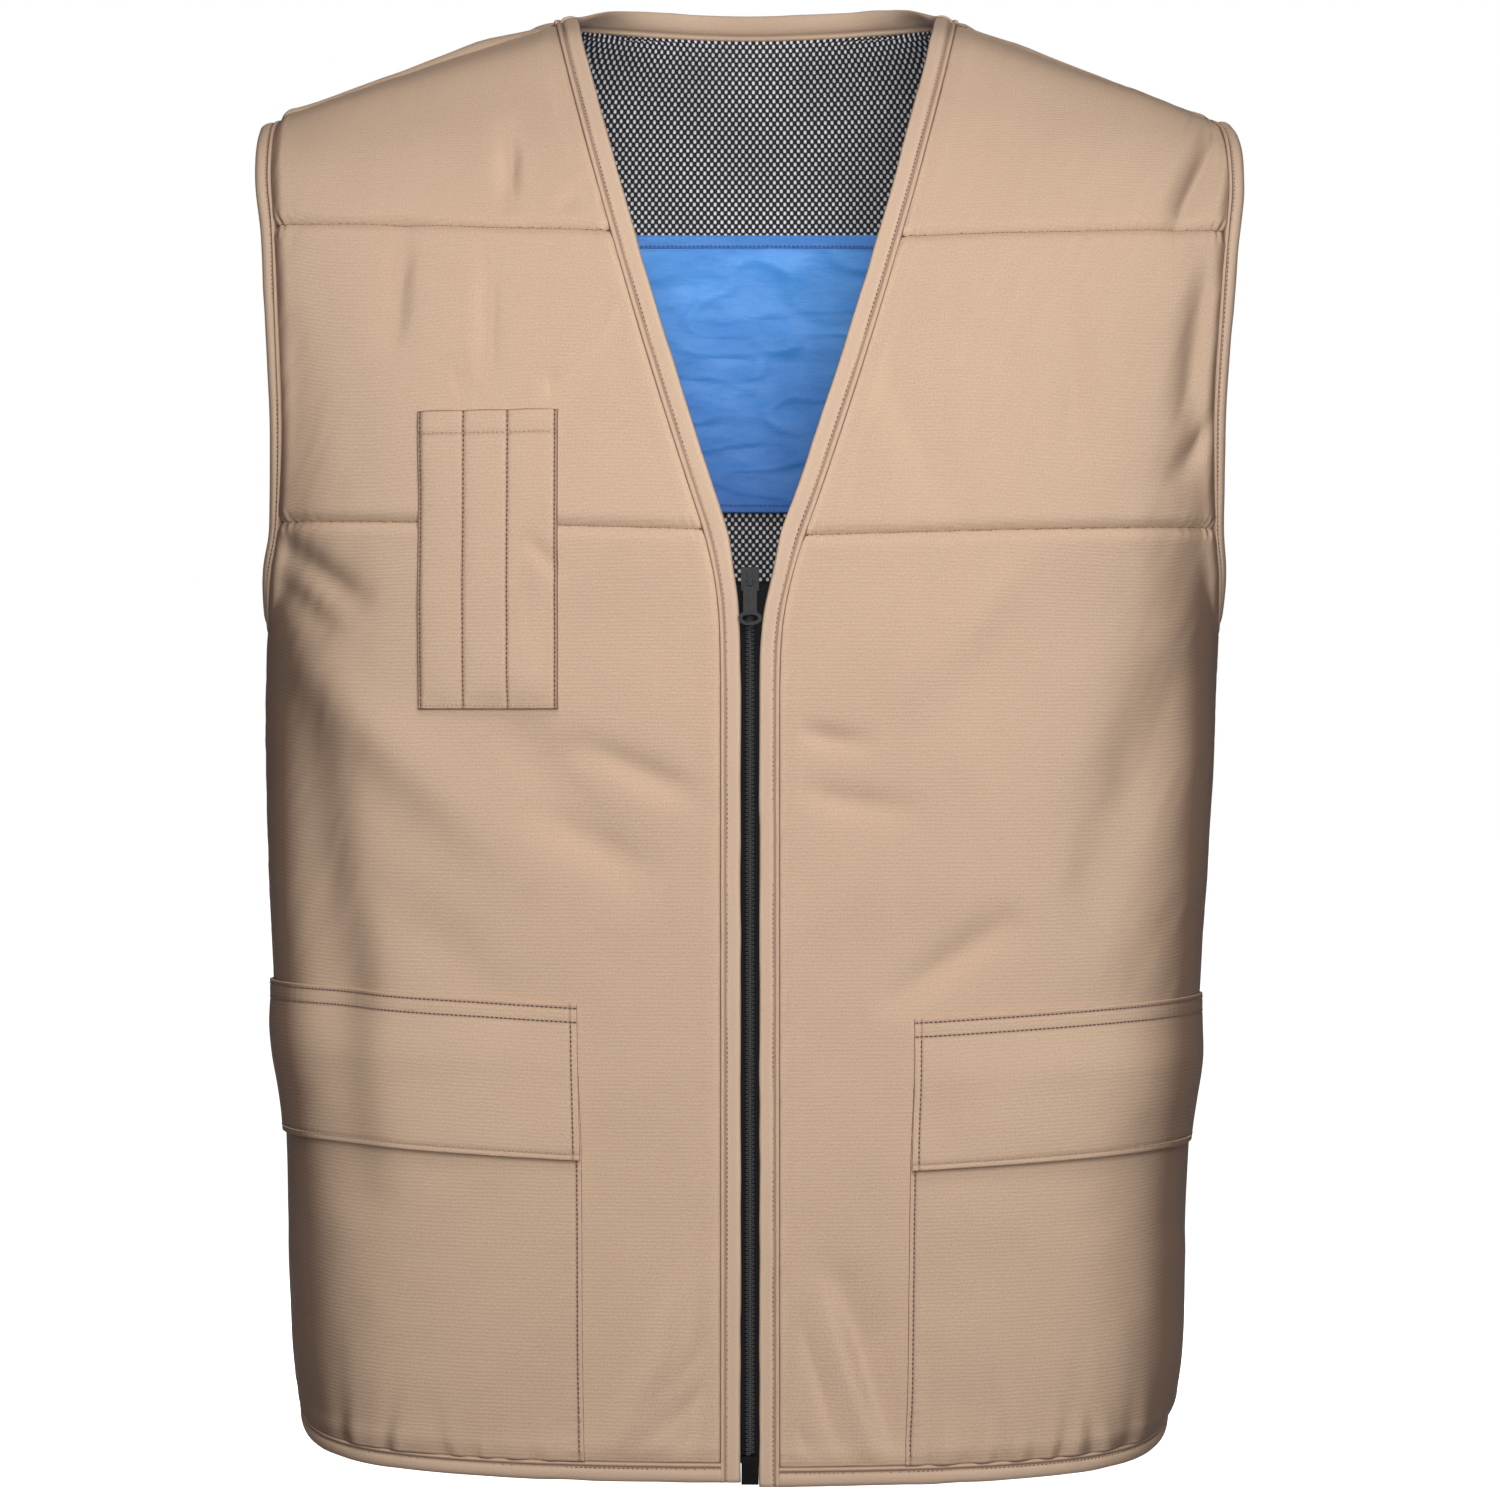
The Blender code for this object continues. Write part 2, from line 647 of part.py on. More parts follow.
def make_cooling_insert():
    inside = PANEL_THICKNESS / 2 + LINING_CLEARANCE + LINING_THICKNESS + INSERT_CLEARANCE
    edge = HALF_BACK_SHARES[INSERT_COLUMN]
    shares = [share for share in LINING_SHARES if abs(share) <= edge]
    foot = INSERT_TOP + INSERT_HEIGHT
    middle = spread(foot - INSERT_BAND_BOTTOM, INSERT_TOP + INSERT_BAND_TOP, INSERT_ROWS)
    rows = level_back(shares, [foot, *middle, INSERT_TOP], -inside - INSERT_THICKNESS / 2)
    sheet("cooling_insert", rows, INSERT_THICKNESS, "insert_cloth")
    lift = -(inside + INSERT_THICKNESS + GAP + BAND_THICKNESS / 2)
    bands = {
        "insert_band_top": (INSERT_TOP + INSERT_BAND_TOP, INSERT_TOP),
        "insert_band_bottom": (foot, foot - INSERT_BAND_BOTTOM),
    }
    for name, reach in bands.items():
        sheet(name, level_back(shares, reach, lift), BAND_THICKNESS, "insert_cloth")


POCKET_BASE = PANEL_THICKNESS / 2 + GAP + POCKET_THICKNESS / 2


def pocket_bulge(share, place):
    """How far a cargo pocket stands off the panel: nothing at its sewn edges, most in the middle of its mouth."""
    across = (share - POCKET_EDGE) / (1 - POCKET_EDGE)
    rise = smooth_step(min(place, place_named("mouth")) / place_named("mouth") * 2)
    return POCKET_BULGE * sin(pi * min(max(across, 0.0), 1.0)) * rise


def flap_lift(share, place):
    """A flap lies on the panel along its top edge, then on the pocket, and its lower edge stands off a little."""
    top, mouth, foot = (place_named(name) for name in ("flap_top", "mouth", "flap_foot"))
    on_pocket = smooth_step((top - place) / (top - mouth))
    stands = smooth_step((mouth - place) / (mouth - foot))
    over = POCKET_THICKNESS + GAP + pocket_bulge(share, place)
    return POCKET_BASE + over * on_pocket + FLAP_LIFT * stands * (1 - share**4)


def make_cargo_pockets():
    shares = FRONT_SHARES[POCKET_COLUMN:]
    mouth, foot, top = (
        place_named(name) * ROWS_PER_SECTION for name in ("mouth", "flap_foot", "flap_top")
    )
    for side, word in SIDE_NAMES.items():
        pocket = front_cloth(
            side, shares, FRONT_PLACES[: mouth + 1], lambda u, v: POCKET_BASE + pocket_bulge(u, v)
        )
        sheet(f"cargo_pocket_{word}", pulled_in(pocket), POCKET_THICKNESS, "shell_cloth")
        flap = front_cloth(side, shares, FRONT_PLACES[foot : top + 1], flap_lift)
        sheet(f"pocket_flap_{word}", pulled_in(flap), POCKET_THICKNESS, "shell_cloth")


def make_pen_pocket():
    across = spread(PEN_INNER, PEN_INNER + PEN_WIDTH, PEN_COLUMNS)
    down = spread(PEN_TOP + PEN_HEIGHT, PEN_TOP, PEN_ROWS)
    lift = PANEL_THICKNESS / 2 + PEN_LIFT + POCKET_THICKNESS / 2
    rows = measured_front(RIGHT, across, down, lift)
    sheet("pen_pocket", rows, POCKET_THICKNESS, "shell_cloth")


# Lifts of the zip's parts from the middle of the front cloth, to the middle of each
TAPE_LIFT = -(BINDING_THICKNESS / 2 + GAP + TAPE_THICKNESS / 2)
COIL_LIFT = TAPE_LIFT + TAPE_THICKNESS / 2 + GAP + COIL_THICKNESS / 2
PLATE_LIFT = COIL_LIFT + COIL_THICKNESS / 2 + PLATE_CLEARANCE + SLIDER_PLATE / 2
BACK_PLATE_LIFT = TAPE_LIFT - TAPE_THICKNESS / 2 - BACK_PLATE_CLEARANCE - SLIDER_PLATE / 2
HINGE_LIFT = BINDING_THICKNESS / 2 + PULL_CLEARANCE + PULL_THICKNESS / 2


def cloth_y(down):
    """Where the middle of the front cloth is, right at the zip."""
    return front_at_x(RIGHT, 0.0, place_of(RIGHT, 0.0, down)).y


def make_zip_tapes():
    foot = PANEL_LENGTH + HEM_BINDING - GAP
    tape_top = ZIP_TOP + SLIDER_WEB + 3 * GAP
    coil_foot = foot + BOX_BELOW_HEM - BOX_HEIGHT - GAP
    for side, word in SIDE_NAMES.items():
        down = spread(foot, tape_top, ZIP_ROWS)
        rows = measured_front(side, (GAP, TAPE_REACH / 2, TAPE_REACH), down, TAPE_LIFT)
        sheet(f"zip_tape_{word}", rows, TAPE_THICKNESS, "zip_tape")
        down = spread(coil_foot, tape_top, ZIP_ROWS)
        rows = measured_front(side, (GAP, GAP + COIL_WIDTH), down, COIL_LIFT)
        sheet(f"zip_coil_{word}", rows, COIL_THICKNESS, "zip_tape")


def flat_mesh(name, outlines, half_thickness):
    """A flat plate from outlines, the first of them round the others, which are holes."""
    curve = bpy.data.curves.new(name, "CURVE")
    curve.dimensions = "2D"
    curve.fill_mode = "BOTH"
    curve.extrude = half_thickness
    for outline in outlines:
        spline = curve.splines.new("POLY")
        spline.points.add(len(outline) - 1)
        for point, (x, y) in zip(spline.points, outline):
            point.co = (x, y, 0.0, 1.0)
        spline.use_cyclic_u = True
    helper = bpy.data.objects.new(name + "_outline", curve)
    bpy.context.scene.collection.objects.link(helper)
    graph = bpy.context.evaluated_depsgraph_get()
    mesh = bpy.data.meshes.new_from_object(helper.evaluated_get(graph))
    bpy.data.objects.remove(helper, do_unlink=True)
    bpy.data.curves.remove(curve)
    shape = bmesh.new()
    shape.from_mesh(mesh)
    bmesh.ops.remove_doubles(shape, verts=shape.verts, dist=1e-6)
    bmesh.ops.recalc_face_normals(shape, faces=shape.faces)
    shape.to_mesh(mesh)
    shape.free()
    mesh.name = name
    return mesh


def rectangle(x0, x1, y0, y1):
    return [(x0, y0), (x1, y0), (x1, y1), (x0, y1)]


def make_slider():
    """Two plates and the web between them, with a bridge on the front plate that carries the pull."""
    middle_y = cloth_y(ZIP_TOP + SLIDER_HEIGHT / 2)
    front = PLATE_LIFT + SLIDER_PLATE / 2
    back = BACK_PLATE_LIFT - SLIDER_PLATE / 2
    inner_front, inner_back = front - SLIDER_PLATE, back + SLIDER_PLATE
    profile = [
        (back, 0.0),
        (front, 0.0),
        (front, -SLIDER_HEIGHT),
        (inner_front, -SLIDER_HEIGHT),
        (inner_front, -SLIDER_WEB),
        (inner_back, -SLIDER_WEB),
        (inner_back, -SLIDER_HEIGHT),
        (back, -SLIDER_HEIGHT),
    ]
    # The outlines are drawn with x as the lift and y as the height, and this turns them upright.
    upright = Matrix(((0, 0, 1, 0), (-1, 0, 0, middle_y), (0, 1, 0, -ZIP_TOP), (0, 0, 0, 1)))
    body = add_object("zip_slider", flat_mesh("zip_slider", [profile], SLIDER_HALF), "zip_metal")
    body.matrix_world = upright
    hinge_down = -SLIDER_HEIGHT / 2
    far = HINGE_LIFT + BRIDGE_HOLE / 2
    bridge = flat_mesh(
        "bridge",
        [
            rectangle(
                front - SLIDER_PLATE / 2,
                far + BRIDGE_WALL,
                hinge_down - BRIDGE_LENGTH / 2,
                hinge_down + BRIDGE_LENGTH / 2,
            ),
            rectangle(
                HINGE_LIFT - BRIDGE_HOLE / 2,
                far,
                hinge_down - BRIDGE_LENGTH / 2 + BRIDGE_WALL,
                hinge_down + BRIDGE_LENGTH / 2 - BRIDGE_WALL,
            ),
        ],
        BRIDGE_HALF,
    )
    helpers = bpy.data.collections.new("helpers")
    bpy.context.scene.collection.children.link(helpers)
    bridge_object = bpy.data.objects.new("bridge", bridge)
    helpers.objects.link(bridge_object)
    bridge_object.matrix_world = upright
    bridge_object.hide_render = True
    bridge_object.display_type = "WIRE"
    joined = body.modifiers.new("bridge", "BOOLEAN")
    joined.operation = "UNION"
    joined.object = bridge_object
    return Vector((0.0, middle_y - HINGE_LIFT, hinge_down - ZIP_TOP))


def oval(half_width, half_height, centre, start, end, steps):
    """Points of an oval from one angle to another."""
    angles = spread(start, end, steps)
    return [(half_width * cos(a), centre + half_height * sin(a)) for a in angles]


def make_pull(axis):
    """The pull: an eye round the bridge, a flat neck and an oval ring, hanging from its axis."""
    bar = PULL_THICKNESS / 2
    half_height = PULL_RING_HEIGHT / 2
    centre = bar - PULL_LENGTH + half_height
    meet = acos(PULL_NECK_HALF / PULL_RING_HALF)
    outer = [(-PULL_NECK_HALF, bar), (PULL_NECK_HALF, bar)]
    outer += oval(PULL_RING_HALF, half_height, centre, meet, -pi - meet, 16)
    eye = rectangle(-PULL_EYE_HALF, PULL_EYE_HALF, -bar - PULL_EYE_LENGTH, -bar)
    hole_half = PULL_RING_HALF - PULL_RING_WALL
    hole = oval(hole_half, half_height - PULL_RING_WALL, centre, 0.0, 2 * pi, 12)[:-1]
    mesh = flat_mesh("zip_pull", [outer, eye, hole], PULL_THICKNESS / 2)
    pull = add_object("zip_pull", mesh, "zip_metal")
    pull.location = axis
    pull.rotation_euler = (radians(90), 0.0, 0.0)


def block(name, x0, x1, low, high, down0, down1, look):
    """A box between two distances across, two lifts from the cloth and two distances below the neck."""
    y = cloth_y((down0 + down1) / 2)
    size = Vector((x1 - x0, high - low, down1 - down0))
    centre = Vector(((x0 + x1) / 2, y - (low + high) / 2, -(down0 + down1) / 2))
    shape = bmesh.new()
    bmesh.ops.create_cube(shape, size=1.0, matrix=Matrix.Diagonal((*size, 1.0)))
    mesh = bpy.data.meshes.new(name)
    shape.to_mesh(mesh)
    shape.free()
    add_object(name, mesh, look).location = centre


def make_zip_foot():
    """The box at the lower end of the zip, and the pin above it."""
    low = TAPE_LIFT + TAPE_THICKNESS / 2 + GAP
    foot = PANEL_LENGTH + HEM_BINDING + BOX_BELOW_HEM
    top = foot - BOX_HEIGHT
    block("zip_retainer_box", -BOX_HALF, BOX_HALF, low, low + BOX_THICKNESS, top, foot, "zip_metal")
    pin_edge = COIL_WIDTH + 2 * GAP
    pin_foot = top - GAP
    block(
        "zip_insert_pin",
        -pin_edge - PIN_WIDTH,
        -pin_edge,
        low,
        low + COIL_THICKNESS,
        pin_foot - PIN_HEIGHT,
        pin_foot,
        "zip_metal",
    )


def main():
    clear_scene()
    make_panels()
    make_neck_and_front_bindings()
    make_armhole_bindings()
    make_hem_binding()
    make_back_lining()
    make_cooling_insert()
    make_cargo_pockets()
    make_pen_pocket()
    make_zip_tapes()
    make_pull(make_slider())
    make_zip_foot()


if __name__ == "__main__":
    main()
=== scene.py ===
"""Looks of the cooling vest: cloth with its folds, seams and stitches, the zip, and a plain studio.

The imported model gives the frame, in metres: the front faces -Y, the wearer's left is +X and +Z is up.
"Right" and "left" are the wearer's. Each cloth and coil node is replaced by finely made cloth or teeth that
lie where the node does. The slider, pull, box and pin of the zip are kept and are given their finish.
"""

from collections import namedtuple
from functools import cache

import bmesh
import bpy
import numpy as np
from bpy.props import FloatProperty, FloatVectorProperty, PointerProperty
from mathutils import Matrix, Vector


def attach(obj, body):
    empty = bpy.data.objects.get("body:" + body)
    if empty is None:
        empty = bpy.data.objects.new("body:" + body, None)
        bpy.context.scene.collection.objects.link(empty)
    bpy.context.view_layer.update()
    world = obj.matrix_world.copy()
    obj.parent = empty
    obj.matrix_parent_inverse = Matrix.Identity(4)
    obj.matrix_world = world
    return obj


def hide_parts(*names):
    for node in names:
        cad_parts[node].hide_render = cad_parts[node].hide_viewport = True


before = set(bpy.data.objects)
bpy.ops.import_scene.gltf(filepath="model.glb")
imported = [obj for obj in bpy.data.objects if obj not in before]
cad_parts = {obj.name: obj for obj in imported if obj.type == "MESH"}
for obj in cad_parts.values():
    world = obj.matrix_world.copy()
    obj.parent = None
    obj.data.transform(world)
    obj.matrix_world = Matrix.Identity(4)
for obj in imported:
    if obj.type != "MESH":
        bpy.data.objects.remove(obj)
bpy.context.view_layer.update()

bl_info = {
    "name": "Cooling vest",
    "version": (1, 0, 0),
    "blender": (4, 5, 0),
    "location": "3D View > Sidebar > Cooling vest",
    "description": "Makes the cloth, the zip, the stitching and the studio of a cooling vest",
    "category": "Object",
}

RIGHT, LEFT = -1, 1
SIDES = {RIGHT: "right", LEFT: "left"}

# The body of the vest, in the values of the part's source
PANEL_LENGTH = 0.686
CHEST_HALF = 0.240
FRONT_DEPTH = 0.125
BACK_DEPTH = 0.122
SEAM_FORWARD = 0.012
ROUNDNESS = 2.2
ARMHOLE_FRONT = 0.062
ARMHOLE_BACK = 0.060
HEM_RISE = 0.020
HEM_POWER = 6
NECK_BACK = 0.088
NECK_RISE = 0.001
NECK_POWER = 1.12
ZIP_OPENING = 0.0135
NECK_HALF = {RIGHT: 0.0955, LEFT: 0.1015}
V_DEPTH = {RIGHT: 0.280, LEFT: 0.2915}
V_BOW = {RIGHT: 0.0035, LEFT: 0.0050}
INSIDE_DROP = 0.050

PANEL_THICKNESS = 0.003
BINDING_THICKNESS = 0.004
LINING_THICKNESS = 0.001
LINING_CLEARANCE = 0.0014
INSERT_THICKNESS = 0.0025
INSERT_CLEARANCE = 0.0012
BAND_THICKNESS = 0.0012
POCKET_THICKNESS = 0.0015
TAPE_THICKNESS = 0.0008
COIL_THICKNESS = 0.0013
GAP = 0.0003

# How far cloth is let out into its seams and bindings reach over it, and how the bend at the foot of the
# armholes is eased out
EDGE_DRAW = -0.0003
DRAW_REACH = 0.0030
DRAW_ROWS = 6
BINDING_OVERLAP = 0.0007
EASE_REACH = 0.020
EASE_STEP = 0.0005
EASE_FADE = 0.12

Section = namedtuple("Section", "name edge side left_drop right left front back armhole")
SECTIONS = (
    Section("hem", 1.000, 1.000, 0.003, 0.904, 0.842, 0.985, 0.93, 0.00),
    Section("pocket_foot", 0.942, 0.940, 0.004, 0.914, 0.859, 0.970, 0.92, 0.00),
    Section("flap_foot", 0.802, 0.788, 0.007, 0.924, 0.874, 0.950, 0.88, 0.00),
    Section("mouth", 0.745, 0.732, 0.009, 0.944, 0.893, 0.940, 0.86, 0.00),
    Section("flap_top", 0.698, 0.683, 0.010, 0.957, 0.902, 0.935, 0.85, 0.00),
    Section("waist", 0.608, 0.600, 0.008, 0.969, 0.918, 0.940, 0.86, 0.00),
    Section("ribs", 0.522, 0.520, 0.004, 0.976, 0.932, 0.965, 0.90, 0.00),
    Section("armhole_foot", 0.444, 0.444, 0.000, 0.970, 0.942, 0.990, 0.95, 0.00),
    Section("armhole_low", 0.433, 0.435, 0.000, 0.964, 0.937, 0.993, 0.96, 0.30),
    Section("v_foot", 0.399, 0.399, 0.000, 0.951, 0.929, 1.000, 0.97, 0.68),
    Section("quilt_low", 0.374, 0.364, 0.004, 0.930, 0.917, 0.998, 0.98, 0.84),
    Section("chest", 0.304, 0.299, 0.003, 0.922, 0.913, 0.970, 1.00, 0.98),
    Section("upper_chest", 0.223, 0.218, 0.003, 0.929, 0.924, 0.900, 0.99, 1.00),
    Section("quilt_high", 0.170, 0.159, 0.004, 0.938, 0.938, 0.820, 0.96, 0.90),
    Section("collarbone", 0.115, 0.126, 0.002, 0.950, 0.950, 0.690, 0.90, 0.75),
    Section("shoulder", 0.067, 0.103, 0.000, 0.954, 0.951, 0.500, 0.70, 0.55),
    Section("over_shoulder", 0.025, 0.085, 0.000, 0.956, 0.948, 0.270, 0.40, 0.25),
    Section("seam", 0.0080, 0.0765, 0.000, 0.955, 0.937, 0.000, 0.00, 0.00),
)
PLACES = {row.name: i for i, row in enumerate(SECTIONS)}
LAST = len(SECTIONS) - 1
YOKE_PLACE = PLACES["quilt_high"]

Yoke = namedtuple("Yoke", "neck_drop shoulder_drop neck_out shoulder_out")
YOKE_ROWS = (
    Yoke(0.00, 0.00, 0.00, 0.00),
    Yoke(0.07, 0.00, 0.05, 0.10),
    Yoke(0.20, 0.04, 0.22, 0.34),
    Yoke(0.42, 0.22, 0.52, 0.64),
    Yoke(0.70, 0.55, 0.82, 0.88),
    Yoke(1.00, 1.00, 1.00, 1.00),
)
BACK_LAST = YOKE_PLACE + len(YOKE_ROWS) - 1
NECK_SHARE = 0.42
SHOULDER_RIDGE = {RIGHT: 0.0048, LEFT: 0.0020}
RIDGE_ROWS = 2
RIDGE_FADE = 0.16

# The camera, level with the middle of the vest. The view plane is where the chest is: places on the front are
# given as the camera sees them there, as metres to the wearer's left and metres down.
CAMERA_DISTANCE = 2.2
CAMERA_HEIGHT = -0.358
LENS = 107.76
SENSOR = 36.0
VIEW_PLANE = -0.13

# Folds of the fronts, as seen in the view plane. Each runs from one place to another, and a height above 0 is
# a ridge. They fade out beside the panel's edges and near the hem.
Fold = namedtuple("Fold", "x0 down0 x1 down1 width height")
FOLDS = (
    Fold(-0.112, 0.074, -0.112, 0.106, 0.0060, -0.0024),
    Fold(-0.087, 0.110, -0.069, 0.096, 0.0035, -0.0010),
    Fold(-0.161, 0.119, -0.166, 0.168, 0.0085, -0.0022),
    Fold(-0.121, 0.127, -0.122, 0.193, 0.0065, -0.0018),
    Fold(-0.058, 0.149, -0.094, 0.196, 0.0060, -0.0016),
    Fold(-0.137, 0.180, -0.131, 0.199, 0.0040, -0.0011),
    Fold(-0.093, 0.185, -0.089, 0.199, 0.0040, -0.0010),
    Fold(-0.216, 0.264, -0.183, 0.288, 0.0075, -0.0022),
    Fold(-0.217, 0.280, -0.196, 0.300, 0.0070, -0.0014),
    Fold(-0.100, 0.262, -0.090, 0.276, 0.0045, -0.0012),
    Fold(-0.101, 0.280, -0.100, 0.316, 0.0060, -0.0010),
    Fold(-0.076, 0.357, -0.022, 0.382, 0.0075, -0.0026),
    Fold(-0.097, 0.389, -0.056, 0.412, 0.0080, -0.0017),
    Fold(-0.023, 0.594, -0.054, 0.682, 0.0110, 0.0022),
    Fold(-0.022, 0.632, -0.047, 0.664, 0.0050, -0.0016),
    Fold(-0.016, 0.648, -0.053, 0.680, 0.0050, -0.0018),
    Fold(-0.023, 0.655, -0.034, 0.686, 0.0045, -0.0014),
    Fold(-0.198, 0.326, -0.106, 0.413, 0.0150, 0.0022),
    Fold(-0.115, 0.344, -0.055, 0.418, 0.0130, -0.0022),
    Fold(-0.210, 0.335, -0.178, 0.560, 0.0160, -0.0026),
    Fold(-0.165, 0.430, -0.120, 0.470, 0.0140, -0.0014),
    Fold(0.215, 0.078, 0.196, 0.114, 0.0070, -0.0024),
    Fold(0.190, 0.330, 0.150, 0.440, 0.0150, -0.0018),
    Fold(0.120, 0.270, 0.075, 0.330, 0.0120, 0.0014),
    Fold(0.060, 0.180, 0.085, 0.235, 0.0110, -0.0012),
    Fold(0.147, 0.160, 0.149, 0.218, 0.0090, -0.0017),
    Fold(0.208, 0.144, 0.200, 0.202, 0.0075, -0.0018),
    Fold(0.213, 0.206, 0.196, 0.230, 0.0060, -0.0015),
    Fold(0.015, 0.349, 0.050, 0.356, 0.0055, -0.0019),
    Fold(0.021, 0.378, 0.070, 0.387, 0.0070, -0.0016),
    Fold(0.115, 0.438, 0.070, 0.472, 0.0085, -0.0028),
    Fold(0.043, 0.606, 0.067, 0.686, 0.0085, -0.0024),
    Fold(0.030, 0.610, 0.055, 0.684, 0.0080, 0.0022),
    Fold(0.023, 0.623, 0.046, 0.686, 0.0050, -0.0014),
    Fold(0.015, 0.664, 0.029, 0.686, 0.0040, -0.0014),
)
FOLD_FADE = 0.07
FOLD_HEM_FADE = 0.3

# Gathers above the hem: places across in the view plane, each with a ridge beside its dent. They fade out
# upward from the hem seam.
GATHERS = (-0.186, -0.168, -0.139, -0.127, -0.115, -0.098, 0.082, 0.100, 0.116, 0.131, 0.141, 0.158, 0.172)
GATHER_FOOT = 0.686
GATHER_REACH = 0.016
GATHER_WIDTH = 0.0034
GATHER_DEPTH = 0.0019

# The back's long soft drapes below the armholes, and how far from its edges its unevenness fades out
DRAPE_TOP = 0.30
DRAPE_FADE = 0.25
DRAPE_FOOT = 0.05
DRAPE_SIDE = 0.03
DRAPE_PITCH = 0.105
DRAPE_HEIGHT = 0.0032
EDGE_CALM = 0.02

# Quilt lines
QUILT_PLACES = (PLACES["quilt_low"], PLACES["quilt_high"])
QUILT_WIDTH = 0.0032
PUCKER_HEIGHT = 0.00055
SEAM_WIDTH = 0.0010
QUILT_PUFF = 0.0016
QUILT_PUFF_REACH = 0.030
QUILT_PUCKERS = 0.0047

# Pockets
POCKET_EDGE = 0.18
POCKET_BULGE = 0.0030
FLAP_LIFT = 0.0022
POCKET_BASE = PANEL_THICKNESS / 2 + GAP + POCKET_THICKNESS / 2
PEN_WIDTH = 0.065
PEN_HEIGHT = 0.138
PEN_INNER = 0.088
PEN_TOP = 0.201
PEN_LIFT = 0.0010

# Rows of stitches, as distances from an edge: of a cargo pocket, of its flap, and of the pen pocket, where
# they are counted from the edge toward the arm
POCKET_LINE = 0.0022
FLAP_TOP_LINES = (0.0020, 0.0086)
FLAP_INNER_LINE = 0.0030
FLAP_FOOT_LINE = 0.0028
PEN_EDGE_INSET = 0.0015
PEN_CHANNELS = (0.0217, 0.0421)
PEN_LINES = (PEN_EDGE_INSET, *PEN_CHANNELS, PEN_WIDTH - PEN_EDGE_INSET)
PEN_HEM = 0.0105
PEN_FOOT_LINE = 0.0020
LINE_WIDTH = 0.0006

# The cooling insert
INSERT_SHARE = 0.5575
INSERT_TOP = 0.094
INSERT_HEIGHT = 0.143
INSERT_BAND_TOP = 0.0065
INSERT_BAND_BOTTOM = 0.0045
INSERT_INSIDE = PANEL_THICKNESS / 2 + LINING_CLEARANCE + LINING_THICKNESS + INSERT_CLEARANCE

# Zip
TAPE_REACH = 0.016
ZIP_TOP = 0.274
SLIDER_WEB = 0.0055
TOOTH_PITCH = 0.0020
BOX_HEIGHT = 0.0130
BOX_BELOW_HEM = 0.0012
TAPE_TOP = ZIP_TOP + SLIDER_WEB + 3 * GAP
TAPE_LIFT = -(BINDING_THICKNESS / 2 + GAP + TAPE_THICKNESS / 2)
COIL_LIFT = TAPE_LIFT + TAPE_THICKNESS / 2 + GAP + COIL_THICKNESS / 2

# Widths of the bindings, and the length of the steps along them
HEM_BINDING = 0.0085
FRONT_BINDING = 0.0090
V_BINDING = 0.0105
NECK_BINDING = 0.0125
ARMHOLE_BINDING = 0.0090
RUN_STEP = 0.0020

# The section of a binding: shares of its width out from the cloth's edge, and shares of half its thickness
# up. The piped ridge is beside the seam, and the row of stitches lies in the hollow after it.
PROFILE = (
    (0.00, 0.05), (0.02, 0.45), (0.06, 0.84), (0.12, 1.04), (0.18, 0.98), (0.23, 0.66), (0.285, 0.42),
    (0.34, 0.55), (0.42, 0.86), (0.54, 1.00), (0.68, 0.99), (0.80, 0.88), (0.90, 0.66), (0.97, 0.34),
    (1.00, 0.00),
)
STITCH_SHARE = 0.285
STITCH_LIFT = 0.42
STITCH_AHEAD = 0.0004
STITCH_LENGTH = 0.0017
STITCH_WIDTH = 0.00070
QUILT_STITCH_WIDTH = 0.0009

# How many rows and columns of points each grid of cloth has
Count = namedtuple("Count", "rows columns")
FRONT_COUNT = Count(300, 116)
BACK_COUNT = Count(230, 150)
POCKET_COUNT = Count(118, 84)
FLAP_COUNT = Count(84, 120)
PEN_COUNT = Count(100, 110)
LINING_COUNT = Count(110, 90)
INSERT_COUNT = Count(100, 120)
BAND_COUNT = Count(16, 140)
TAPE_COUNT = Count(160, 16)

# How finely curves are tried before they are divided, and how much closer points lie near fine places and
# ends
TRIALS = 2000
LEVEL_TRIALS = 600
HALVINGS = 24
FINE_DENSITY = 3.6
END_DENSITY = 14

# Tones, and the threads with the settings that hold their colours
WARM_GREY = (1.0, 0.78, 0.66, 1.0)
WHITE = (1.0, 1.0, 1.0, 1.0)
# Painted light: how much paler the cloth is painted where it turns a little to the side
PAINTED_LIGHT = (1.13, 1.15, 1.15, 1.0)
THREADS = {
    "brown thread": "thread_colour",
    "shell thread": "pale_thread_colour",
    "blue thread": "blue_thread_colour",
}

# The studio. The power of each lamp is given as shares of the key light's and of the fill light's.
FLOOR_SIDE = 60.0
FLOOR_GLOW = 1.1
Lamp = namedtuple("Lamp", "name place target size of_key of_fill")
LAMPS = (
    Lamp("key", (0.08, -1.0, -0.12), (0.0, 0.0, -0.34), 0.40, 1.0, 0.0),
    Lamp("front", (0.1, -3.2, -0.2), (0.0, 0.0, -0.35), 0.80, 0.0, 1.0),
    Lamp("top", (0.0, -0.9, 0.9), (0.0, -0.05, -0.05), 0.50, 0.0, 0.20),
    Lamp("key_back", (0.08, 1.0, -0.12), (0.0, 0.0, -0.34), 0.40, 1.0, 0.0),
    Lamp("back", (-0.1, 3.2, -0.2), (0.0, 0.0, -0.35), 0.80, 0.0, 1.0),
)


def mix(a, b, share):
    return a + (b - a) * share


def smooth_step(share):
    share = np.clip(share, 0.0, 1.0)
    return share * share * (3 - 2 * share)


def near_line(distance, width):
    """1 on a line, and less with the distance from it."""
    return np.exp(-((distance / width) ** 2))


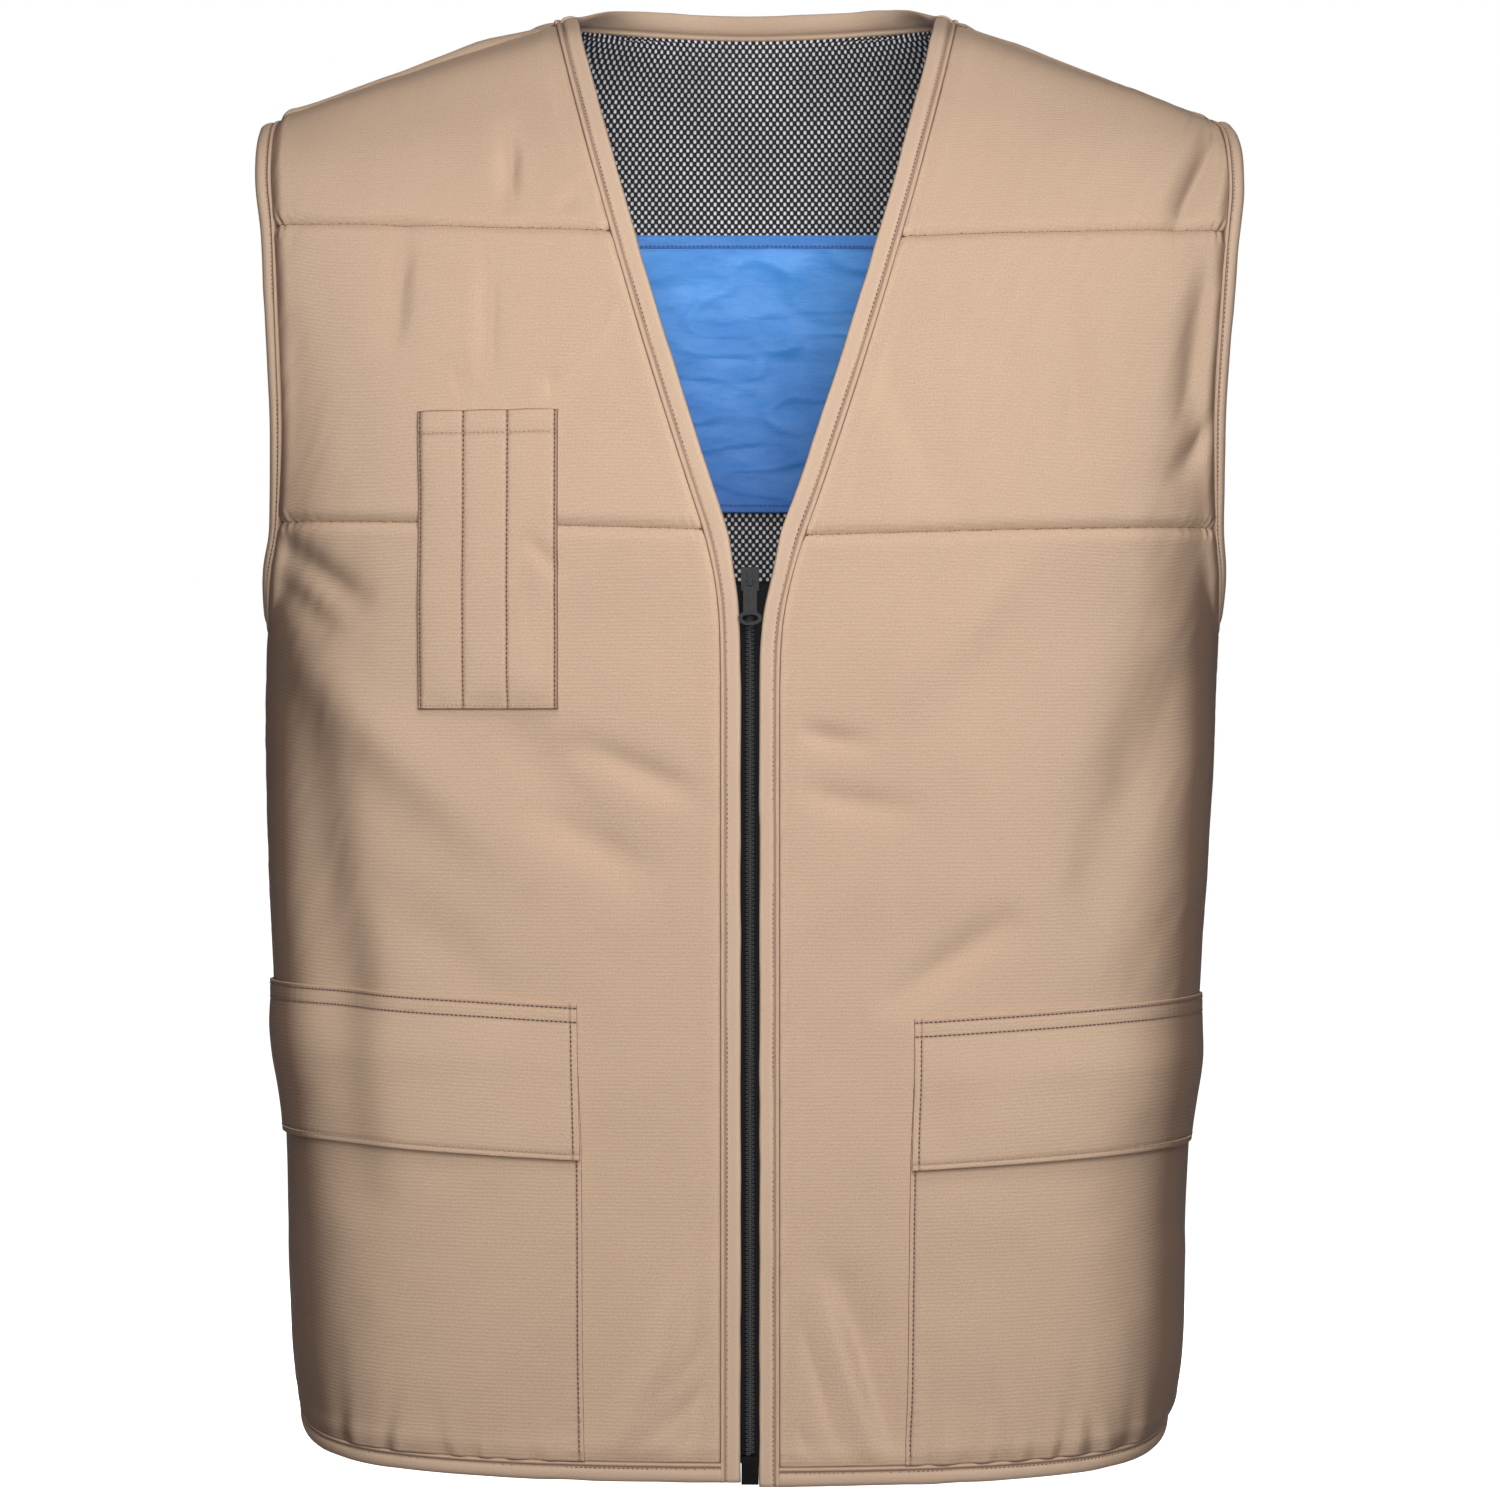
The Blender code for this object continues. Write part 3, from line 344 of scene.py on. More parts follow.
def through(values, place):
    """A smooth curve through values that lie at 0, 1, 2 and so on, read at places. It never overshoots."""
    values = np.asarray(values, float)
    steps = np.diff(values)
    before, after = steps[:-1], steps[1:]
    total = np.where(before + after == 0, 1.0, before + after)
    inner = np.where(before * after > 0, 2 * before * after / total, 0.0)
    slopes = np.concatenate((steps[:1], inner, steps[-1:]))
    index = np.clip(np.asarray(place).astype(int), 0, len(values) - 2)
    share = place - index
    square, cube = share**2, share**3
    return (
        values[index] * (2 * cube - 3 * square + 1)
        + slopes[index] * (cube - 2 * square + share)
        + values[index + 1] * (3 * square - 2 * cube)
        + slopes[index + 1] * (cube - square)
    )


def section_at(side, place):
    """The sections at places counted in rows of SECTIONS from the hem, for the right (-1) or the left (1)."""
    values = {
        name: through([getattr(row, name) for row in SECTIONS], place) for name in Section._fields[1:]
    }
    drop = values["left_drop"] if side > 0 else 0.0
    return {
        "drop": drop,
        "edge": values["edge"] + drop,
        "side": values["side"] + drop,
        "reach": CHEST_HALF * values["left" if side > 0 else "right"],
        "front": FRONT_DEPTH * values["front"],
        "back": BACK_DEPTH * values["back"],
        "armhole": np.maximum(values["armhole"], 0.0),
    }


def edge_reach(side, down):
    """How far from the middle the front edge lies, a distance below the neck."""
    share = np.maximum(1 - down / V_DEPTH[side], 0.0)
    return mix(ZIP_OPENING, NECK_HALF[side], share) + V_BOW[side] * 4 * share * (1 - share)


def full_reach(reach, depth, opening):
    """The reach that a section would have with no armhole."""
    closed = (depth <= opening) | (opening <= 0)
    ratio = np.where(closed, 0.0, opening / np.where(depth > 0, depth, 1.0))
    return reach / (1 - ratio**ROUNDNESS) ** (1 / ROUNDNESS)


def angle_of(x, full):
    return np.arcsin(np.minimum(np.abs(x) / full, 1.0) ** (ROUNDNESS / 2))


def around(full, depth, angle):
    """A point on a quarter of the section, from its middle at angle 0 to its side at a right angle."""
    power = 2 / ROUNDNESS
    return full * np.sin(angle) ** power, depth * np.maximum(np.cos(angle), 0.0) ** power


def hem_rise(angle, place):
    return HEM_RISE * np.maximum(1 - place, 0.0) * (angle / (np.pi / 2)) ** HEM_POWER


def front_at_x(side, x, place):
    """Points of the middle of the front cloth at distances x from the middle of the vest."""
    row = section_at(side, place)
    full = full_reach(row["reach"], row["front"], ARMHOLE_FRONT * row["armhole"])
    angle = angle_of(x, full)
    depth = around(full, row["front"], angle)[1]
    start = edge_reach(side, PANEL_LENGTH * row["edge"])
    down = mix(row["edge"], row["side"], (x - start) / (row["reach"] - start))
    height = hem_rise(angle, place) - PANEL_LENGTH * down
    return np.stack(np.broadcast_arrays(side * x, -SEAM_FORWARD - depth, height), axis=-1)


def front_at(side, share, place):
    """The same, at shares of the way from the front edge to the side edge."""
    row = section_at(side, place)
    full = full_reach(row["reach"], row["front"], ARMHOLE_FRONT * row["armhole"])
    start = angle_of(edge_reach(side, PANEL_LENGTH * row["edge"]), full)
    end = angle_of(row["reach"], full)
    return front_at_x(side, around(full, row["front"], mix(start, end, share))[0], place)


def back_row(side, share, place):
    """Points of the middle of the back cloth, at shares of the way from the spine to the side edge."""
    row = section_at(side, place)
    full = full_reach(row["reach"], row["back"], ARMHOLE_BACK * row["armhole"])
    angle = angle_of(row["reach"], full) * share
    x, depth = around(full, row["back"], angle)
    down = mix(row["edge"], row["side"], x / row["reach"]) - row["drop"] * (1 - smooth_step(2 * share))
    height = hem_rise(angle, place) - PANEL_LENGTH * down
    return np.stack(np.broadcast_arrays(side * x, depth - SEAM_FORWARD, height), axis=-1)


def back_top(side, share):
    """The top edge of the back: round the neck, then along the shoulder seam."""
    turn = np.minimum(share / NECK_SHARE, 1.0) * np.pi / 2
    x = NECK_HALF[side] * np.sin(turn) ** NECK_POWER
    depth = NECK_BACK * np.maximum(np.cos(turn), 0.0) ** NECK_POWER
    height = mix(-PANEL_LENGTH * SECTIONS[-1].edge, NECK_RISE, np.maximum(np.cos(turn), 0.0) ** 0.5)
    neck = np.stack((side * x, depth - SEAM_FORWARD, height), axis=-1)
    along = np.clip((share - NECK_SHARE) / (1 - NECK_SHARE), 0.0, 1.0)
    shoulder = front_at(side, along, np.full_like(along, LAST))
    return np.where((share < NECK_SHARE)[..., None], neck, shoulder)


def shoulder_ridge(side, share, row):
    along = (share - NECK_SHARE) / (1 - NECK_SHARE)
    behind = np.sin(np.pi * np.minimum(row / RIDGE_ROWS, 1.0))
    return SHOULDER_RIDGE[side] * behind * smooth_step(np.minimum(along, 1 - along) / RIDGE_FADE)


def back_half(side, share, place):
    """The middle of one half of the back cloth, for a row of shares and a column of places."""
    below = back_row(side, share[None, :], np.minimum(place, YOKE_PLACE)[:, None])
    row = BACK_LAST - np.maximum(place, YOKE_PLACE)
    toward_shoulder = smooth_step(share / NECK_SHARE) ** 1.5

    def part(neck, shoulder):
        columns = [
            through([mix(getattr(r, neck), getattr(r, shoulder), t) for r in YOKE_ROWS], row)
            for t in toward_shoulder
        ]
        return np.stack(columns, axis=1)

    drop = part("neck_drop", "shoulder_drop")
    out = part("neck_out", "shoulder_out")
    top = back_top(side, share)[None]
    low = back_row(side, share, np.full_like(share, YOKE_PLACE))[None]
    yoke = np.stack(
        (
            mix(top[..., 0], low[..., 0], 1 - (1 - out) ** 3),
            mix(top[..., 1], low[..., 1], out),
            mix(top[..., 2], low[..., 2], drop) + shoulder_ridge(side, share[None], row[:, None]),
        ),
        axis=-1,
    )
    return np.where((place > YOKE_PLACE)[:, None, None], yoke, below)


def back_at(shares, places):
    """The middle of the back cloth, with shares from -1 at the right side edge to 1 at the left."""
    halves = {side: back_half(side, np.abs(shares), places) for side in SIDES}
    return np.where((shares > 0)[None, :, None], halves[LEFT], halves[RIGHT])


def bisected(is_below, shape, highest):
    """The places, in an array of a shape, where is_below stops being true."""
    low, high = np.zeros(shape), np.full(shape, float(highest))
    for _ in range(HALVINGS):
        middle = (low + high) / 2
        below = is_below(middle)
        low, high = np.where(below, middle, low), np.where(below, high, middle)
    return low


def measured_front(side, across, down):
    """Front cloth at distances across from the middle of the vest and distances down below the neck."""
    across, down = np.meshgrid(across, down)
    place = bisected(lambda p: -front_at_x(side, across, p)[..., 2] > down, down.shape, LAST)
    return front_at_x(side, across, place)


def level_back(shares, down):
    """Back cloth in level rows, at distances down below the neck."""
    places = np.linspace(0.0, BACK_LAST, LEVEL_TRIALS)
    cloth = back_at(shares, places)
    rows = np.empty((len(down), len(shares), 3))
    for j in range(len(shares)):
        for axis in range(3):
            rows[:, j, axis] = np.interp(-np.asarray(down), cloth[:, j, 2], cloth[:, j, axis])
    return rows


def unit(vectors):
    return vectors / np.maximum(np.linalg.norm(vectors, axis=-1, keepdims=True), 1e-12)


def outward(points):
    """The way that each point of a grid of cloth faces, away from the wearer."""
    normals = unit(np.cross(np.gradient(points, axis=1), np.gradient(points, axis=0)))
    inside = points * (0.0, 0.0, 1.0) + (0.0, -SEAM_FORWARD, -INSIDE_DROP)
    return normals * np.sign(np.sum(normals * (points - inside)))


def in_view(points):
    """Where the camera sees points, as metres to the wearer's left and down in the view plane."""
    scale = (CAMERA_DISTANCE + VIEW_PLANE) / (CAMERA_DISTANCE + points[..., 1])
    return points[..., 0] * scale, -(points[..., 2] - CAMERA_HEIGHT) * scale - CAMERA_HEIGHT


def arc(points, axis):
    """Lengths along a grid of points from its first row or column."""
    steps = np.linalg.norm(np.diff(points, axis=axis), axis=-1)
    start = np.zeros_like(np.take(steps, [0], axis=axis))
    return np.concatenate((start, np.cumsum(steps, axis=axis)), axis=axis)


def even(start, end, count, fine=(), ends=0.0):
    """Numbers from start to end, closer together near the places named as fine and, by the value of ends,
    near both ends."""
    trial = np.linspace(start, end, 2 * TRIALS)
    span = end - start
    density = np.ones_like(trial)
    for place, reach in fine:
        density += FINE_DENSITY * near_line(trial - place, reach)
    if ends:
        nearest = np.minimum(trial - start, end - trial) / span
        density += END_DENSITY * np.exp(-nearest / ends)
    grown = np.concatenate(([0.0], np.cumsum((density[1:] + density[:-1]) / 2)))
    return np.interp(np.linspace(0.0, grown[-1], count), grown, trial)


# Small-scale relief

def puckers(run, pitch, size, seed, along=None):
    """Waves at about a pitch along a run, which wander with the noise along it or along another measure."""
    along = run if along is None else along
    return np.sin(run * 2 * np.pi / pitch + 2 * rumple(along, along * 0, size, seed))


def hashed(x, y, seed):
    """Numbers from -1 to 1 that depend on whole numbers x and y alone."""
    value = np.sin(x * 127.1 + y * 311.7 + seed * 74.7) * 43758.5453
    return 2 * (value - np.floor(value)) - 1


def rumple(x, y, size, seed):
    """Smooth noise of about the size given, from -1 to 1."""
    x, y = x / size, y / size
    cell_x, cell_y = np.floor(x), np.floor(y)
    share_x, share_y = smooth_step(x - cell_x), smooth_step(y - cell_y)
    low = mix(hashed(cell_x, cell_y, seed), hashed(cell_x + 1, cell_y, seed), share_x)
    high = mix(hashed(cell_x, cell_y + 1, seed), hashed(cell_x + 1, cell_y + 1, seed), share_x)
    return mix(low, high, share_y)


def fold_height(side, x, down, share, place):
    """The folds and the soft unevenness of worn cloth, at places in the view plane. What lies on the fronts
    shares them. They fade out toward the edges of the front panel."""
    height = np.zeros_like(x)
    for fold in FOLDS:
        run_x, run_y = fold.x1 - fold.x0, fold.down1 - fold.down0
        away_x, away_y = x - fold.x0, down - fold.down0
        length = run_x**2 + run_y**2
        along = (away_x * run_x + away_y * run_y) / length
        nearest = np.clip(along, 0.0, 1.0)
        across = np.hypot(away_x - run_x * nearest, away_y - run_y * nearest) / fold.width
        lean = (away_x * run_y - away_y * run_x) / (np.sqrt(length) * fold.width)
        deepest = 1 - 0.5 * (2 * nearest - 1) ** 2
        height += fold.height * deepest * np.exp(-across * across) * (1 + 0.25 * np.tanh(lean))
    fade = smooth_step(share / FOLD_FADE) * smooth_step((1 - share) / FOLD_FADE)
    fade = fade * smooth_step(place / FOLD_HEM_FADE)
    worn = 0.0011 * rumple(x + 0.4 * down, down, 0.062, 2 + side)
    worn += 0.0006 * rumple(x, down, 0.030, 5 + side)
    return (bpy.context.scene.vest_cloth.fold_strength * height + worn) * fade


def gather_height(x, down):
    """Short gathers that run up from the hem binding."""
    near = np.exp(-np.maximum(GATHER_FOOT - down, 0.0) / GATHER_REACH)
    height = np.zeros_like(x)
    for i, place in enumerate(GATHERS):
        lean = 0.22 * np.sin(2.1 * i) * (GATHER_FOOT - down)
        across = (x - place - lean) / GATHER_WIDTH
        height += (-np.exp(-across * across) + 0.7 * np.exp(-((across - 1.7) ** 2))) * near
    return height * GATHER_DEPTH


def quilting(places, across, along):
    """The relief of the quilt lines, which is their grooves and puckers and the cloth's swell to both sides,
    and how much the cloth there is part of a seam, which sets the painted shade in their grooves."""
    height = np.zeros((len(places), across.shape[-1]))
    seam = np.zeros_like(height)
    depth = bpy.context.scene.vest_cloth.quilt_depth
    for k, place in enumerate(QUILT_PLACES):
        away = along - [np.interp(place, places, column) for column in along.T]
        ripple = np.sin(across * 2 * np.pi / QUILT_PUCKERS + 2.2 * rumple(across, across * 0, 0.011, k + 3))
        ripple = ripple * (0.7 + 0.3 * rumple(across, across * 0, 0.006, k + 9))
        groove = near_line(away, QUILT_WIDTH)
        height += -depth * (0.55 * groove + 0.55 * near_line(away, QUILT_WIDTH / 3))
        height += PUCKER_HEIGHT * ripple * near_line(away, 1.4 * QUILT_WIDTH)
        swell = np.exp(-np.abs(away) / QUILT_PUFF_REACH) * (1 - groove)
        height += QUILT_PUFF * swell * (1 + 0.2 * rumple(across, across * 0, 0.045, k + 21))
        seam += near_line(away, SEAM_WIDTH) * (0.75 + 0.25 * ripple)
    return height, seam


def edge_dip(distance, depth=0.0009, reach=0.0030):
    """How cloth turns down to a seam at its edge, with a little swell before it."""
    swell = 0.3 * depth * near_line(distance - 2.4 * reach, reach)
    return swell - depth * near_line(distance, reach)


# The points of a piece of cloth and the way that it faces at each, the same before its relief was added, the
# distances across and along it in metres, for its weave, and how much it is part of a seam, from 0 to 1, which
# sets the painted shade in its seam grooves
Grid = namedtuple("Grid", "points facing base calm across along seam")


def finished_grid(base, height, seam=0.0):
    """A grid of cloth pushed out by the height."""
    calm = outward(base)
    points = base + calm * height[..., None]
    middle = int(np.argmin(np.abs(base[0, :, 0])))
    across = arc(base, 1)
    across = across - across[:, middle : middle + 1] + np.abs(base[:, middle : middle + 1, 0])
    seam = np.clip(np.broadcast_to(seam, base.shape[:2]), 0.0, 1.0)
    return Grid(points, outward(points), base, calm, across, arc(base, 0), seam)


def edge_distances(grid_points):
    across, along = arc(grid_points, 1), arc(grid_points, 0)
    return across, across[:, -1:] - across, along, along[-1:, :] - along


@cache
def front_rows():
    """The places of the front's rows: even down the cloth, and closer together along the quilt lines."""
    trial = np.linspace(0.0, LAST, TRIALS)
    return even_places(front_at(RIGHT, np.array([0.5]), trial[:, None]), trial, FRONT_COUNT.rows)


@cache
def back_rows():
    trial = np.linspace(0.0, BACK_LAST, TRIALS)
    return even_places(back_at(np.array([-0.6]), trial), trial, BACK_COUNT.rows)


def even_places(column, trial, count):
    length = arc(column, 0)[:, 0]
    fine = [(np.interp(place, trial, length), 0.006) for place in QUILT_PLACES]
    return np.interp(even(0.0, length[-1], count, fine, ends=0.004), length, trial)


@cache
def back_columns():
    return even(-1.0, 1.0, BACK_COUNT.columns, [(0.0, 0.02)], ends=0.012)


@cache
def front_grid(side):
    """The front panel: its big folds, quilt lines, gathers and the small unevenness of worn cloth."""
    rows = front_rows()
    columns = even(0.0, 1.0, FRONT_COUNT.columns, ends=0.02)
    base = drawn_in(eased(front_at(side, columns[None, :], rows[:, None]), 1 - columns))
    x, down = in_view(base)
    first, last, foot, _ = edge_distances(base)
    height = fold_height(side, x, down, columns[None, :], rows[:, None])
    relief, seam = quilting(rows, arc(base, 1), arc(base, 0))
    height += relief * smooth_step(first / 0.004)
    seam += near_line(first, SEAM_WIDTH) + near_line(last, SEAM_WIDTH) + near_line(foot, SEAM_WIDTH)
    height += gather_height(x, down)
    height += 0.00022 * rumple(x, down * 0.6, 0.012, 8 + side)
    height += 0.00016 * rumple(x * 2.4 + down, down * 0.5, 0.009, 11 + side)
    beside_edges = np.exp(-first / 0.006) + np.exp(-last / 0.006)
    height += 0.00014 * puckers(arc(base, 0), 0.0052, 0.013, 31, down) * beside_edges
    height += edge_dip(first) + edge_dip(last) + edge_dip(foot)
    return finished_grid(base, height, seam)


def on_front(side, across, down):
    """Places on the finished base of a front, at distances across from its middle and down below the neck."""
    base = front_grid(side).base
    columns = base.swapaxes(0, 1)
    reach = np.abs([np.interp(-down, column[:, 2], column[:, 0]) for column in columns]).T
    depth = np.array([np.interp(-down, column[:, 2], column[:, 1]) for column in columns]).T
    depths = [np.interp(across, reach[i], depth[i]) for i in range(len(down))]
    return np.stack(np.broadcast_arrays(side * across, depths, -down[:, None]), axis=-1)


@cache
def back_grid():
    """The back panel, with the same quilt lines as the fronts and long soft drapes."""
    rows, columns = back_rows(), back_columns()
    base = drawn_in(eased(back_at(columns, rows), 1 - np.abs(columns)))
    first, last, foot, top = edge_distances(base)
    x, z = base[..., 0], base[..., 2]
    height, seam = quilting(rows, arc(base, 1), arc(base, 0))
    seam += sum(near_line(distance, SEAM_WIDTH) for distance in (first, last, foot, top))
    low = smooth_step((-z - DRAPE_TOP) / DRAPE_FADE) * smooth_step(foot / DRAPE_FOOT)
    low *= smooth_step(np.minimum(first, last) / DRAPE_SIDE)
    height += DRAPE_HEIGHT * low * np.sin(x * 2 * np.pi / DRAPE_PITCH + 1.5 * rumple(x, z, 0.16, 3))
    from_edge = smooth_step(np.minimum.reduce((first, last, foot, top)) / EDGE_CALM)
    height += 0.0013 * rumple(x + 0.3 * z, z, 0.070, 13) * from_edge
    height += 0.0007 * rumple(x, z * 0.5, 0.034, 14) * from_edge
    height += 0.00022 * rumple(x, z, 0.012, 15)
    height += edge_dip(first) + edge_dip(last) + edge_dip(foot) + edge_dip(top, 0.0006)
    return finished_grid(base, height, seam)


def eased(points, from_side):
    """The grid with its bend at the foot of the armholes eased out, except beside its side edges."""
    bend = -PANEL_LENGTH * SECTIONS[PLACES["armhole_low"]].edge
    levels = np.arange(bend - 8 * EASE_REACH, bend + 8 * EASE_REACH, EASE_STEP)
    kernel = np.exp(-0.5 * (np.arange(-3 * EASE_REACH, 3 * EASE_REACH, EASE_STEP) / EASE_REACH) ** 2)
    kernel /= kernel.sum()
    result = points.copy()
    for j, inset in enumerate(from_side):
        height = points[:, j, 2]
        share = smooth_step((3 - np.abs(levels - bend) / EASE_REACH) / 1.5) * smooth_step(inset / EASE_FADE)
        share *= smooth_step((levels - height[0]) / EASE_REACH)
        share *= smooth_step((height[-1] - levels) / EASE_REACH)
        for axis in (0, 1):
            straight = np.interp(levels, height, points[:, j, axis])
            soft = np.convolve(straight, kernel, mode="same")
            result[:, j, axis] += np.interp(height, levels, (soft - straight) * share, left=0.0, right=0.0)
    return result


def drawn_in(points, amount=EDGE_DRAW):
    """The grid with its outer edge drawn in, or let out into the next piece's seam by an amount below 0."""
    first, last, foot, top = (amount * np.exp(-distance / DRAW_REACH) for distance in edge_distances(points))
    drawn = points.copy()
    inner, outer = DRAW_ROWS, -DRAW_ROWS - 1
    drawn += unit(points[:, [inner]] - points[:, :1]) * first[..., None]
    drawn += unit(points[:, [outer]] - points[:, -1:]) * last[..., None]
    drawn += unit(points[[inner]] - points[:1]) * foot[..., None]
    drawn += unit(points[[outer]] - points[-1:]) * top[..., None]
    return drawn


def pocket_bulge(share, place):
    across = (share - POCKET_EDGE) / (1 - POCKET_EDGE)
    rise = smooth_step(np.minimum(place, PLACES["mouth"]) / PLACES["mouth"] * 2)
    return POCKET_BULGE * np.sin(np.pi * np.clip(across, 0.0, 1.0)) * rise


def flap_lift(share, place):
    top, mouth, foot = (PLACES[name] for name in ("flap_top", "mouth", "flap_foot"))
    on_pocket = smooth_step((top - place) / (top - mouth))
    stands = smooth_step((mouth - place) / (mouth - foot))
    over = POCKET_THICKNESS + GAP + pocket_bulge(share, place)
    return POCKET_BASE + over * on_pocket + FLAP_LIFT * stands * (1 - share**4)


def carried(side, columns, rows, lift):
    """Cloth that lies on the front panel, at a lift from the middle of it, with the folds that it shares."""
    base = front_at(side, columns[None, :], rows[:, None])
    x, down = in_view(base)
    return base, x, down, fold_height(side, x, down, columns[None, :], rows[:, None]) + lift


@cache
def pocket_grid(side):
    rows = even(0.0, PLACES["mouth"], POCKET_COUNT.rows, ends=0.008)
    columns = even(POCKET_EDGE, 1.0, POCKET_COUNT.columns, ends=0.010)
    share, place = np.meshgrid(columns, rows)
    base, x, down, height = carried(side, columns, rows, POCKET_BASE + pocket_bulge(share, place))
    first, last, foot, _ = edge_distances(base)
    height += gather_height(x, down)
    height += 0.00045 * rumple(x, down * 0.7, 0.034, 41 + side) * smooth_step(first / 0.01)
    height += 0.00022 * rumple(x, down, 0.012, 45 + side)
    from_line = first - POCKET_LINE
    height += 0.00016 * puckers(arc(base, 0), 0.0050, 0.012, 47, down) * near_line(from_line, 0.0035)
    height -= 0.00030 * near_line(from_line, 0.0010)
    height += edge_dip(foot) + edge_dip(last)
    seam = 0.6 * near_line(from_line, LINE_WIDTH) + near_line(foot, SEAM_WIDTH) + near_line(last, SEAM_WIDTH)
    return finished_grid(drawn_in(base), height, seam)


@cache
def flap_grid(side):
    rows = even(PLACES["flap_foot"], PLACES["flap_top"], FLAP_COUNT.rows, ends=0.018)
    columns = even(POCKET_EDGE, 1.0, FLAP_COUNT.columns, ends=0.010)
    share, place = np.meshgrid(columns, rows)
    base, x, down, height = carried(side, columns, rows, flap_lift(share, place))
    first, last, foot, top = edge_distances(base)
    height += 0.00060 * rumple(x, down, 0.038, 51 + side) * smooth_step(top / 0.02)
    height += 0.00022 * rumple(x, down, 0.012, 53 + side)
    seam = near_line(last, SEAM_WIDTH)
    up, across = arc(base, 0), arc(base, 1)
    lines = [(top - inset, across) for inset in FLAP_TOP_LINES]
    lines += [(first - FLAP_INNER_LINE, up), (foot - FLAP_FOOT_LINE, across)]
    for away, run in lines:
        seam += 0.5 * near_line(away, LINE_WIDTH)
        height += -0.00032 * near_line(away, 0.0012)
        height += 0.00010 * puckers(run, 0.0046, 0.012, 57) * near_line(away, 0.003)
    height += edge_dip(last)
    return finished_grid(drawn_in(base), height, seam)


@cache
def pen_grid():
    """The pen pocket: three channels between rows of stitches, and a turned hem along its mouth."""
    across = even(PEN_INNER, PEN_INNER + PEN_WIDTH, PEN_COUNT.columns, ends=0.02)
    down = even(PEN_TOP, PEN_TOP + PEN_HEIGHT, PEN_COUNT.rows, ends=0.01)
    base = on_front(RIGHT, across, down[::-1])
    x, seen = in_view(base)
    first, last, foot, top = edge_distances(base)
    last = last / last[:, :1] * PEN_WIDTH
    height = fold_height(RIGHT, x, seen, 0.5, LAST / 2)
    height += PANEL_THICKNESS / 2 + PEN_LIFT + POCKET_THICKNESS / 2
    seam = 0.3 * near_line(top - PEN_HEM, LINE_WIDTH)
    seam += near_line(np.minimum.reduce((first, last, foot, top)), LINE_WIDTH)
    for inset in PEN_LINES:
        away = last - inset
        seam += 0.7 * near_line(away, 0.0007)
        height += -0.00045 * near_line(away, 0.0012)
        height += 0.00011 * puckers(arc(base, 0), 0.0040, 0.012, inset * 900) * near_line(away, 0.0030)
    for low, high in zip((0.0, *PEN_CHANNELS), (*PEN_CHANNELS, PEN_WIDTH)):
        share = np.clip((last - low) / (high - low), 0.0, 1.0)
        open_mouth = 1.0 + 0.5 * np.exp(-top / 0.03)
        height += 0.0011 * np.sin(np.pi * share) ** 0.8 * open_mouth * smooth_step(foot / 0.01)
    height += -0.00030 * near_line(top - PEN_HEM, 0.0010) + 0.00025 * smooth_step((PEN_HEM - top) / 0.0012)
    height += 0.00030 * rumple(x, seen, 0.016, 61)
    return finished_grid(base, height, seam)


@cache
def lining_grid():
    rows = even(0.0, BACK_LAST, LINING_COUNT.rows)
    columns = even(-1.0, 1.0, LINING_COUNT.columns)
    base = drawn_in(back_at(columns, rows), LINING_CLEARANCE)
    lift = -(PANEL_THICKNESS / 2 + LINING_CLEARANCE + LINING_THICKNESS / 2)
    return finished_grid(base, lift + 0.00035 * rumple(base[..., 0], base[..., 2], 0.03, 71))


@cache
def insert_grid():
    """The cooling insert, with creases all over it that fade out toward its two bands."""
    down = even(INSERT_TOP, INSERT_TOP + INSERT_HEIGHT, INSERT_COUNT.rows)[::-1]
    base = level_back(even(-INSERT_SHARE, INSERT_SHARE, INSERT_COUNT.columns), down)
    lift = -(INSERT_INSIDE + INSERT_THICKNESS / 2)
    x, z = base[..., 0], base[..., 2]
    wave = rumple(x, z * 2.2, 0.022, 81) + 0.5 * rumple(x, z * 1.4, 0.010, 82)
    crease = 1 - np.abs(rumple(x + 0.3 * z, z * 2.6, 0.030, 83))
    creases = np.clip(crease, 0.0, 1.0) ** 6
    from_band = smooth_step(np.minimum(*edge_distances(base)[2:]) / 0.014)
    height = lift + (0.0009 * wave - 0.0014 * creases) * from_band
    return finished_grid(base, height)


def rounded_rim(distances, radius):
    """How full a wall of cloth is: 0 at its edge and 1 from the radius on, along a quarter of a circle."""
    nearest = np.minimum.reduce(distances)
    share = np.clip(nearest / radius, 0.0, 1.0)
    return np.sqrt(np.maximum(1 - (1 - share) ** 2, 0.0))


